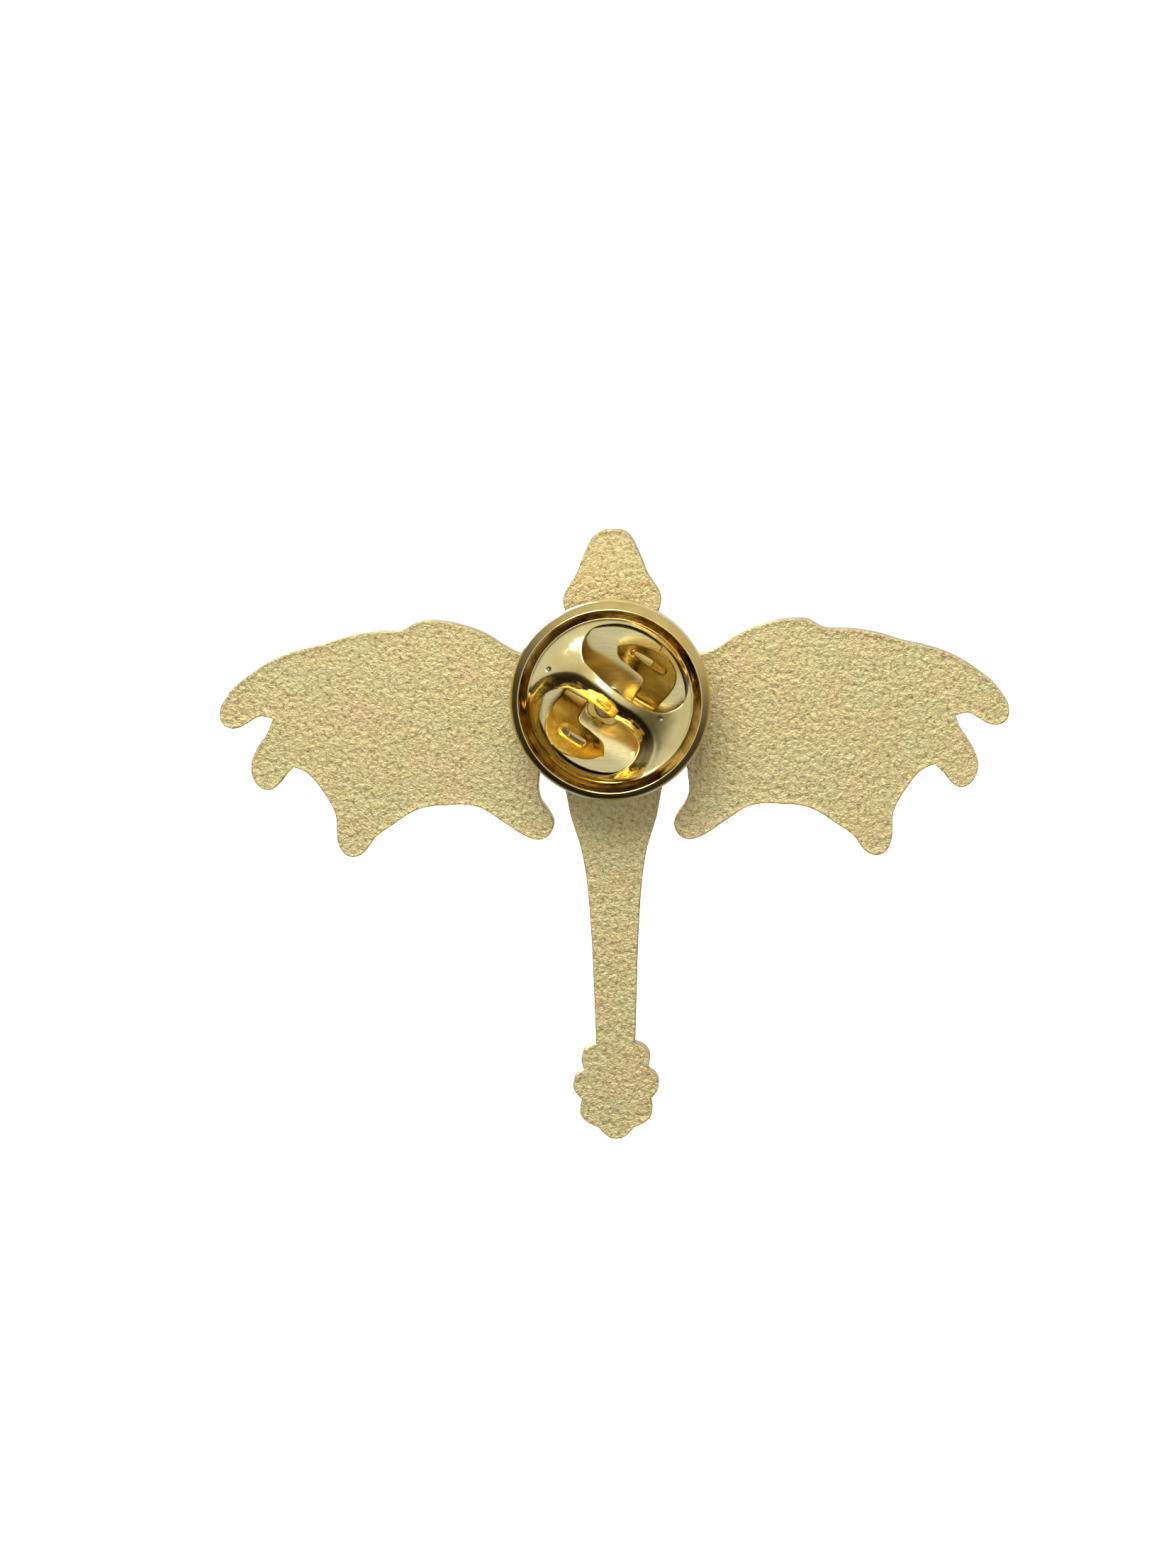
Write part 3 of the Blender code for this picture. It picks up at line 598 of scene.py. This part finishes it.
def wire_steel(name, tint, spacing, rough):
    """Drawn steel wire: long fine die lines and a dull nickel shine."""
    material, tree, shader = new_finish(name, Metallic=1.0, Roughness=rough)
    place = add(tree, "ShaderNodeTexCoord").outputs["Object"]
    drawn = add(tree, "ShaderNodeMapping", {"Vector": place, "Scale": (1.0, 0.05, 1.0)})
    lines = add(tree, "ShaderNodeTexNoise", {"Vector": drawn.outputs["Vector"],
                                             "Scale": 1 / (spacing * MM), "Detail": 3.0})
    colour = ramp(tree, lines.outputs["Fac"], (0.3, hex_colour("#8F8B82")), (0.65, hex_colour(tint)))
    tree.links.new(colour, shader.inputs["Base Color"])
    bump = add(tree, "ShaderNodeBump", {"Height": lines.outputs["Fac"], "Strength": 0.3,
                                        "Distance": 0.01 * MM})
    tree.links.new(bump.outputs["Normal"], shader.inputs["Normal"])
    return material


def tin_solder():
    """Tin solder as it flowed: satin, with a cloudy skin."""
    material, tree, shader = new_finish("flowed_tin_solder", Metallic=1.0, Roughness=0.38)
    place = add(tree, "ShaderNodeTexCoord").outputs["Object"]
    skin = add(tree, "ShaderNodeTexNoise", {"Vector": place, "Scale": 1 / (0.25 * MM), "Detail": 4.0})
    colour = ramp(tree, skin.outputs["Fac"], (0.35, hex_colour("#A9A8A2")), (0.7, hex_colour("#D6D5CE")))
    tree.links.new(colour, shader.inputs["Base Color"])
    bump = add(tree, "ShaderNodeBump", {"Height": skin.outputs["Fac"], "Strength": 0.4,
                                        "Distance": 0.03 * MM})
    tree.links.new(bump.outputs["Normal"], shader.inputs["Normal"])
    return material


def make_post():
    shoulder = POST_TOP - POST_POINT
    profile = [(0.0, POST_SEAT), (HEAD_RADIUS - 0.05, POST_SEAT)]
    profile += bend((HEAD_RADIUS - 0.08, POST_HEAD - 0.08), 0.08, -60, 90)
    profile += [(POST_RADIUS + 0.1, POST_HEAD)]
    profile += bend((POST_RADIUS + 0.1, POST_HEAD + 0.1), 0.1, 270, 180, 5)
    for level in (shoulder - GROOVE_GAP, shoulder):
        profile += [(POST_RADIUS, level - 0.04), (POST_RADIUS - 0.05, level), (POST_RADIUS, level + 0.04)]
    profile += [(POST_RADIUS - 0.02, shoulder + 0.1), (0.16, POST_TOP - 0.16)]
    profile += bend((0.0, POST_TOP - 0.14), 0.14, 30, 90)[:-1] + [(0.0, POST_TOP)]
    nickel = wire_steel("nickel_plated_wire", "#C9C5B8", 0.12, 0.24)
    post = lathe(profile[::-1]).build("nail_post", [nickel])
    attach(post, "badge")
    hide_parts("tack_post")
    inner, outer = HEAD_RADIUS + 0.02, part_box("solder_ring")[1].x / MM
    profile = [(inner, POST_SEAT), (outer, POST_SEAT)] + bend((outer, 0.33), 0.28, 265, 190, 9)
    profile += [(inner + 0.08, 0.3), (inner, 0.28)]
    ring = lathe(profile[::-1])
    ring.points = [(x * (1 + 0.02 * noise.noise(Vector((x, y, 0.0)))),
                    y * (1 + 0.02 * noise.noise(Vector((x, y, 5.0)))), z) for x, y, z in ring.points]
    ring = ring.build("solder_fillet", [tin_solder()])
    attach(ring, "badge")
    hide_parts("solder_ring")


make_post()

# ---------------------------------------------------------------------------------------------
# The clutch's base: a brass disc pressed with a shallow dish and a raised brim, brushed and then
# gold plated. It lies on the cloth, and the post enters through the hole in its middle.

SHEET = 0.3
BORE_GAP = 0.12
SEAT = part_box("clutch_cap")[0].y / MM
INWARD = next(Vector(j["axis"]) for j in frame["joints"] if j["name"] == "wing_a_squeeze")
BRIDGE_TURN = math.atan2(-INWARD.z, INWARD.x) - math.pi / 2
CLUTCH = WORLD @ Matrix.Translation((0.0, 0.0, SEAT)) @ Matrix.Rotation(BRIDGE_TURN, 4, "Z")


def brushed_gold():
    """Gold plate over a blank brushed with a wire wheel: satin, with fine lines all one way."""
    material, tree, shader = new_finish("brushed_gold_plate", Metallic=1.0)
    place = add(tree, "ShaderNodeTexCoord").outputs["Object"]
    turned = add(tree, "ShaderNodeMapping", {"Vector": place, "Rotation": (0.0, math.radians(55), 0.0),
                                             "Scale": (0.04, 1.0, 1.0)})
    lines = add(tree, "ShaderNodeTexNoise", {"Vector": turned.outputs["Vector"],
                                             "Scale": 1 / (0.05 * MM), "Detail": 3.0})
    colour = ramp(tree, lines.outputs["Fac"], (0.3, hex_colour("#E6D294")), (0.7, hex_colour("#F3E2A4")))
    tree.links.new(colour, shader.inputs["Base Color"])
    rough = add(tree, "ShaderNodeMapRange", {"Value": lines.outputs["Fac"], "To Min": 0.14, "To Max": 0.24})
    tree.links.new(rough.outputs["Result"], shader.inputs["Roughness"])
    bump = add(tree, "ShaderNodeBump", {"Height": lines.outputs["Fac"], "Strength": 0.15,
                                        "Distance": 0.004 * MM})
    tree.links.new(bump.outputs["Normal"], shader.inputs["Normal"])
    return material


BRUSHED_GOLD = brushed_gold()


def make_base():
    low, high = ((corner.y / MM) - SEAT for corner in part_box("clutch_base"))
    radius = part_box("clutch_base")[1].x / MM
    bore = POST_RADIUS + BORE_GAP
    top = low + SHEET
    profile = bend((bore + 0.06, top - 0.02), 0.06, 180, 90, 4)
    profile += [(1.6, top), (1.75, top - 0.03), (1.9, top - 0.03), (2.05, top), (3.9, top)]
    profile += bend((radius - 0.75, top + 0.3), 0.3, 270, 320, 5)
    profile += bend((radius - 0.22, high - 0.1), 0.1, 120, 60, 4)
    profile += bend((radius - 0.1, high - 0.15), 0.1, 45, 0, 3)
    profile += [(radius, low + 0.06), (radius - 0.06, low)]
    profile += [(bore + 0.04, low), (bore, low + 0.04)]
    base = lathe(profile[::-1]).build("pressed_base", [BRUSHED_GOLD], CLUTCH)
    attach(base, "clutch_disc")
    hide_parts("clutch_base")


make_base()

# ---------------------------------------------------------------------------------------------
# The two wings, pressed from brass strip: a blade of deeper amber gold with a slot pierced through it,
# and a brushed tongue and leaf. The tongue's jaw grips the post, and lets go when the blades are squeezed.

NO_CORNERS = math.pi
TONGUE_HALF = 0.95
JAW_HALF = 0.62
WING_FOOT = 0.7
WING_TRAVEL = 0.5
WING_STEP = 0.07
SPRING_RADIUS = 4.35
SPRING_TO_LEAF = 0.24
LEAF_TOP = -0.3
LEAF_CUT = 1.25
WING_SIDE = 2.45
BLADE_ROOT = 0.95
BLADE = (
    (2.6, 2.0), (2.55, 2.8), (2.25, 3.35), (1.8, 3.7), (1.05, 3.95), (0.15, 3.8), (-0.75, 3.4),
    (-1.25, 2.9), (-0.95, 2.4), (0.0, 2.15), (1.0, 1.85), (1.12, 1.4),
)
BLADE_TOP = 3.95
WING_REACH = {"clutch_wing_a": 3.95, "clutch_wing_b": 3.45}
SLOT_RADIUS = 0.11
SLOT_LIP = 0.1
WING_ROUND = 0.07
# The blades get a deeper amber gold than the brushed tongue and leaf of the same strip.
AMBER_GOLD = polished_gold("deep_amber_gold_plate", "#DCBC66", "#C8A448", 0.14, 0.01)


def arc(radius, start, end, count, centre=(0.0, 0.0)):
    """Evenly spaced points of an arc, in degrees."""
    angles = np.radians(np.linspace(start, end, count))
    return np.stack((centre[0] + radius * np.cos(angles), centre[1] + radius * np.sin(angles)), 1)


def far_from(points, start, end):
    """Distance of points from a straight stretch."""
    start, end = np.array(start), np.array(end)
    along = end - start
    share = np.clip(((points - start) @ along) / (along @ along), 0.0, 1.0)
    return np.linalg.norm(points - start - share[:, None] * along, axis=1)


def swell(value, low, high):
    """A smooth step from 0 at low to 1 at high."""
    share = np.clip((value - low) / (high - low), 0.0, 1.0)
    return share * share * (3.0 - 2.0 * share)


def capsule(start, end, radius):
    """A closed outline of even width round a straight stretch."""
    (x, y), (far_x, far_y) = start, end
    way = math.degrees(math.atan2(far_y - y, far_x - x))
    return np.vstack((arc(radius, way - 90, way + 90, 9, end), arc(radius, way + 90, way + 270, 9, start)))


def make_wing(node, body, slot_line, leaf_rise, half_turn):
    """One wing, drawn with its blade towards +y. The leaf is cut back where it nears the spring."""
    low, high = (corner.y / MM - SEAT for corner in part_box(node))
    reach = SPRING_RADIUS - SPRING_TO_LEAF
    first = 270 - math.degrees(math.asin(TONGUE_HALF / reach))
    last = 360 - math.degrees(math.asin(-LEAF_TOP / reach))
    stretch = WING_REACH[node] / BLADE_TOP
    leaf = arc(reach, first, last, 16)
    low_part = 1.0 - swell(LEAF_TOP - leaf[:, 1], 2.0, 2.6)
    leaf *= (1.0 + LEAF_CUT * WING_TRAVEL * low_part * leaf[:, 1] / reach ** 2)[:, None]
    tongue = [*leaf, (WING_SIDE, LEAF_TOP), (WING_SIDE, BLADE_ROOT)]
    blade = [(u, BLADE_ROOT + (v - BLADE_ROOT) * stretch) for u, v in BLADE]
    rest = [(1.05, BLADE_ROOT), (1.05, 0.85), (TONGUE_HALF, 0.85), *arc(0.55, 0, 90, 5, (0.4, 0.83))]
    rest += [*arc(0.55, 90, 180, 5, (-0.4, 0.83))]
    outline = smooth_loop(np.array([*tongue, *blade, *rest]), WING_STEP, math.radians(60))
    jaw = smooth_loop(capsule((0.0, 0.04), (0.0, 0.46), JAW_HALF), 0.06, NO_CORNERS)
    loops = [outline, jaw, smooth_loop(capsule(*slot_line, SLOT_RADIUS), 0.05, NO_CORNERS)]

    def height(places):
        lean = np.clip((places[:, 1] - WING_FOOT) / (WING_REACH[node] - WING_FOOT), 0.0, None)
        lean = np.where((np.abs(places[:, 0]) < 1.0) & (places[:, 1] < 1.39), 0.0, lean)
        across = (places[:, 0] - 0.7) / 1.9
        level = low + SHEET + (high - low - SHEET) * lean ** 1.35
        level += 0.25 * across ** 2 * swell(lean, 0.1, 0.6)
        away = far_from(places, *slot_line)
        level += SLOT_LIP * (1.0 - swell(away, SLOT_RADIUS, 3 * SLOT_RADIUS))
        aside = far_from(places, (-1.0, LEAF_TOP), (4.5, LEAF_TOP))
        level += leaf_rise * swell(aside, 0.3, 2.6) * (places[:, 1] < LEAF_TOP)
        return np.minimum(level, high), SHEET * (0.9 + lean)

    places, depth, triangles = fill(loops, WING_STEP, (0.012, 0.035, WING_ROUND))
    tops, thick = height(places)
    shape = Shape()
    # The blade, the spoon, takes the deeper amber gold, and the rest of the wing takes brushed gold.
    spoon = places[triangles].mean(1)[:, 1] > WING_FOOT
    shape.sheet(places, tops - rounded(depth, WING_ROUND), triangles[spoon], 1)
    shape.sheet(places, tops - rounded(depth, WING_ROUND), triangles[~spoon], 0)
    shape.sheet(places, tops - thick + rounded(depth, WING_ROUND), triangles, 0, down=True)
    for loop in loops:
        tops, thick = height(loop)
        shape.wall(loop, tops - WING_ROUND, tops - thick + WING_ROUND, 0, rows=2)
    wing = shape.build("pressed_" + node, [BRUSHED_GOLD, AMBER_GOLD],
                       CLUTCH @ Matrix.Rotation(half_turn, 4, "Z"), weld=0.002)
    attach(wing, body)
    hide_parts(node)


make_wing("clutch_wing_a", "wing_a", ((-0.15, 3.1), (1.55, 3.0)), 0.58, 0.0)
make_wing("clutch_wing_b", "wing_b", ((0.1, 2.62), (1.35, 2.55)), 0.3, math.pi)

# ---------------------------------------------------------------------------------------------
# The spring: a ring of hard drawn steel wire, open at one side. It lies inside the base's brim,
# round the wings, and pulls both tongues against the post.

RING_START = math.radians(205)
RING_SWEEP = math.radians(310)
RING_POINTS = 140
WIRE_POINTS = 16


def wire_ring():
    """A tree for the ring: the wire's round section swept along an open arc."""
    tree = bpy.data.node_groups.new("wire_ring", "GeometryNodeTree")
    for name in ("Ring radius", "Wire radius", "Start", "Sweep", "Level"):
        tree.interface.new_socket(name, in_out="INPUT", socket_type="NodeSocketFloat")
    tree.interface.new_socket("Finish", in_out="INPUT", socket_type="NodeSocketMaterial")
    tree.interface.new_socket("Wire", in_out="OUTPUT", socket_type="NodeSocketGeometry")
    given = add(tree, "NodeGroupInput").outputs
    ring = add(tree, "GeometryNodeCurveArc", {"Resolution": RING_POINTS, "Radius": given["Ring radius"],
                                              "Start Angle": given["Start"],
                                              "Sweep Angle": given["Sweep"]}, mode="RADIUS")
    section = add(tree, "GeometryNodeCurvePrimitiveCircle", {"Resolution": WIRE_POINTS,
                                                             "Radius": given["Wire radius"]})
    wire = add(tree, "GeometryNodeCurveToMesh", {"Curve": ring.outputs["Curve"], "Fill Caps": True,
                                                 "Profile Curve": section.outputs["Curve"]})
    raised = add(tree, "ShaderNodeCombineXYZ", {"Z": given["Level"]})
    placed = add(tree, "GeometryNodeTransform", {"Geometry": wire.outputs["Mesh"],
                                                 "Translation": raised.outputs["Vector"]})
    real = add(tree, "GeometryNodeRealizeInstances", {"Geometry": placed.outputs["Geometry"]})
    coated = add(tree, "GeometryNodeSetMaterial", {"Geometry": real.outputs["Geometry"],
                                                   "Material": given["Finish"]})
    add(tree, "NodeGroupOutput", {"Wire": coated.outputs["Geometry"]})
    return tree


def grow(tree, sizes):
    """The plain mesh that a tree makes with these sizes."""
    host = bpy.data.objects.new("host", bpy.data.meshes.new("host"))
    bpy.context.scene.collection.objects.link(host)
    maker = host.modifiers.new("maker", "NODES")
    maker.node_group = tree
    for socket in tree.interface.items_tree:
        if socket.in_out == "INPUT":
            maker[socket.identifier] = sizes[socket.name]
    mesh = bpy.data.meshes.new_from_object(host.evaluated_get(bpy.context.evaluated_depsgraph_get()))
    host.modifiers.remove(maker)
    bpy.data.objects.remove(host)
    return mesh


def make_spring():
    low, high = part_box("clutch_spring")
    mesh = grow(wire_ring(), {
        "Ring radius": SPRING_RADIUS, "Wire radius": (high.y - low.y) / 2 / MM,
        "Start": RING_START, "Sweep": RING_SWEEP, "Level": (high.y + low.y) / 2 / MM - SEAT,
        "Finish": wire_steel("hard_drawn_spring_wire", "#9A968E", 0.08, 0.3),
    })
    shape = bmesh.new()
    shape.from_mesh(mesh)
    bmesh.ops.remove_doubles(shape, verts=shape.verts, dist=0.0005)
    bmesh.ops.recalc_face_normals(shape, faces=shape.faces)
    shape.to_mesh(mesh)
    shape.free()
    mesh.transform(CLUTCH)
    mesh.shade_smooth()
    mesh.set_sharp_from_angle(angle=SHARP_EDGE)
    spring = bpy.data.objects.new("ring_spring", mesh)
    bpy.context.scene.collection.objects.link(spring)
    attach(spring, "clutch")
    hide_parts("clutch_spring")


make_spring()

# ---------------------------------------------------------------------------------------------
# The clutch's cap: thin brass, drawn to a cup, its rim folded over, its top pressed into an
# S-shaped bridge between two openings, then polished and gold plated. It is crimped on the base.

CAP_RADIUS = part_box("clutch_cap")[1].x / MM
RIM_TOP = 3.3
CREST = CAP_RADIUS - 0.41
FLAT_RADIUS = 4.52
FLAT_HEIGHT = 2.6
BRIDGE_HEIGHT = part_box("clutch_cap")[1].y / MM - SEAT
OPENING_A = (
    (-2.9, 1.85), (-2.45, 1.25), (-1.55, 1.0), (0.1, 0.75), (1.7, 0.7), (2.85, 1.0), (3.45, 1.8),
    (3.25, 2.9), (2.2, 3.75), (0.65, 4.2), (-0.85, 4.2), (-2.1, 3.7), (-2.95, 2.75),
)
OPENING_B = (
    (-3.05, 1.85), (-2.75, 0.95), (-2.05, 0.5), (-0.35, 0.27), (1.3, 0.12), (2.35, 0.2),
    (3.1, 0.75), (3.5, 1.6), (3.3, 2.6), (2.5, 3.7), (0.9, 4.35), (-0.7, 4.4), (-2.0, 4.0), (-2.9, 2.9),
)
LIP_CURL = 0.25
BRIDGE_CURL = 0.12
LIP_FALL = ((-0.8, 1.1), (-0.05, 0.46), (0.12, 0.34), (0.2, 0.27), (0.52, 0.03), (0.62, -0.02),
            (0.72, -0.02), (0.95, 0.0))
DIMPLES = ((-3.81, -0.23), (2.85, 0.65))
DIMPLE_WIDTH = 0.13
DIMPLE_DEPTH = 0.1
CAP_STEP = 0.07
TOP_ROUND = 0.045
UNDER_ROUND = 0.06
BRIGHT_GOLD = polished_gold("bright_gold_plate", "#F3E09E", "#EBD48C", 0.07, 0.03)


def far_from_loop(points, loop):
    """Distance of each point from the nearest point of a loop."""
    tree = kdtree.KDTree(len(loop))
    for i, (x, y) in enumerate(loop):
        tree.insert((x, y, 0.0), i)
    tree.balance()
    return np.array([tree.find((x, y, 0.0))[2] for x, y in points])


def grown(loop, distance):
    """The loop moved outwards by a distance, or inwards by a negative one."""
    along = np.roll(loop, -1, 0) - np.roll(loop, 1, 0)
    along /= np.linalg.norm(along, axis=1, keepdims=True)
    turn = np.sign(np.sum(loop[:, 0] * np.roll(loop[:, 1], -1) - np.roll(loop[:, 0], -1) * loop[:, 1]))
    return loop + turn * np.stack((along[:, 1], -along[:, 0]), 1) * distance


def cap_height(places, lip):
    """Height of the pressed sheet: dome, step and lip round the larger opening, and dimples."""
    radius = np.linalg.norm(places, axis=1)
    dome = np.cos(np.clip(radius / FLAT_RADIUS, 0.0, 1.0) * math.pi / 2) ** 2
    height = FLAT_HEIGHT + (BRIDGE_HEIGHT - FLAT_HEIGHT - 0.02) * dome
    depths, falls = zip(*LIP_FALL)
    away = far_from_loop(places, lip) * np.where(within(places, [lip]), -1.0, 1.0)
    blur = (-0.04, -0.02, 0, 0.02, 0.04)
    height -= np.mean([np.interp(away + shift, depths, falls) for shift in blur], 0)
    for dimple in DIMPLES:
        height -= DIMPLE_DEPTH * (1.0 - swell(np.linalg.norm(places - dimple, axis=1), 0.05, DIMPLE_WIDTH))
    height += 0.08 * swell(radius, 4.38, FLAT_RADIUS + 0.1)
    height += np.array([0.012 * noise.noise(Vector((x, y, 3.0)) / 1.1) for x, y in places])
    return height


def punched_spot():
    """The dimples where the dies' pins met the cap, coloured a dull, mottled dark grey."""
    material, tree, shader = new_finish("dark_grey_dimple_finish", Metallic=1.0, Roughness=0.45)
    place = add(tree, "ShaderNodeTexCoord").outputs["Object"]
    grey_mottle = add(tree, "ShaderNodeTexNoise", {"Vector": place, "Scale": 1 / (0.08 * MM), "Detail": 2.0})
    colour = ramp(tree, grey_mottle.outputs["Fac"], (0.3, hex_colour("#5E5F60")), (0.7, hex_colour("#98958A")))
    tree.links.new(colour, shader.inputs["Base Color"])
    return material


def in_recess(ring, face):
    """Whether a face of the turned ring is part of the narrow trough inside the rim."""
    radius, height = np.mean([(math.hypot(*ring.points[i][:2]), ring.points[i][2]) for i in face], 0)
    return FLAT_RADIUS < radius < CREST - 0.03 and height > FLAT_HEIGHT - 0.02


def make_cap():
    opening_a = smooth_loop(np.array(OPENING_A), 0.06, NO_CORNERS)
    lip = smooth_loop(-np.array(OPENING_B), 0.03, NO_CORNERS)
    curl = LIP_CURL + BRIDGE_CURL * (1.0 - swell(-lip[:, 1:], 0.4, 1.6))
    opening_b = grown(lip, -curl)[::2]
    circle = arc(FLAT_RADIUS + 0.06, 0, 360, 361)[:-1]
    loops = [circle, opening_a, opening_b]
    places, depth, triangles = fill(loops, CAP_STEP, (0.012, 0.03, 0.06))
    height = cap_height(places, lip)
    shape = Shape()
    centres = places[triangles].mean(1)
    # The dimples' faces are coloured a dull dark grey, darker than the gold round them.
    in_dimple = np.min([np.linalg.norm(centres - dimple, axis=1) for dimple in DIMPLES], 0) < DIMPLE_WIDTH
    shape.sheet(places, height - rounded(depth, TOP_ROUND), triangles[~in_dimple], 0)
    shape.sheet(places, height - rounded(depth, TOP_ROUND), triangles[in_dimple], 1)
    places, depth, triangles = fill(loops, 0.16, (0.03, UNDER_ROUND))
    height = cap_height(places, lip) - SHEET
    shape.sheet(places, height + rounded(depth, UNDER_ROUND), triangles, 0, down=True)
    for loop in loops:
        tops = cap_height(loop, lip)
        shape.wall(loop, tops - TOP_ROUND, tops - SHEET + UNDER_ROUND, 0, rows=2)
    outer, inner = CAP_RADIUS - 0.005, CAP_RADIUS - SHEET
    profile = [(FLAT_RADIUS - 0.02, FLAT_HEIGHT - 0.12), (FLAT_RADIUS + 0.06, FLAT_HEIGHT + 0.06)]
    profile += [(FLAT_RADIUS + 0.2, FLAT_HEIGHT + 0.2), (FLAT_RADIUS + 0.38, FLAT_HEIGHT + 0.42)]
    profile += bend((CREST - 0.01, RIM_TOP - 0.06), 0.06, 140, 52, 8)
    profile += bend((CREST - 0.30, RIM_TOP - 0.85), 0.78, 55, 4, 14)
    profile += bend((outer - 0.4, 0.4), 0.4, 0, -90, 10)
    profile += [(4.6, 0.0)] + bend((4.56, 0.13), 0.12, 270, 90, 6) + [(4.96, SHEET)]
    profile += bend((inner - 0.15, 0.5), 0.15, -90, 0, 5)
    profile += [(inner, FLAT_HEIGHT - 0.5), (FLAT_RADIUS - 0.02, FLAT_HEIGHT - SHEET)]
    ring = lathe(profile[::-1], 240)
    first = len(shape.points)
    shape.points += ring.points
    shape.faces += [[first + i for i in face] for face in ring.faces]
    # The trough's faces take the third finish, a darker gold mottled with brown: painted shade that stands in for
    # the dark reflections inside the rim.
    shape.finishes += [2 if in_recess(ring, face) else 0 for face in ring.faces]
    # Polished gold with deep brown mottling, painted shade for the trough inside the rim.
    trough_shade_gold = polished_gold("gold_plate_painted_trough_shade", "#EBCB86", "#8E6233", 0.09, 0.02)
    cap = shape.build("pressed_cap", [BRIGHT_GOLD, punched_spot(), trough_shade_gold], CLUTCH)
    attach(cap, "clutch")
    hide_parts("clutch_cap")


make_cap()
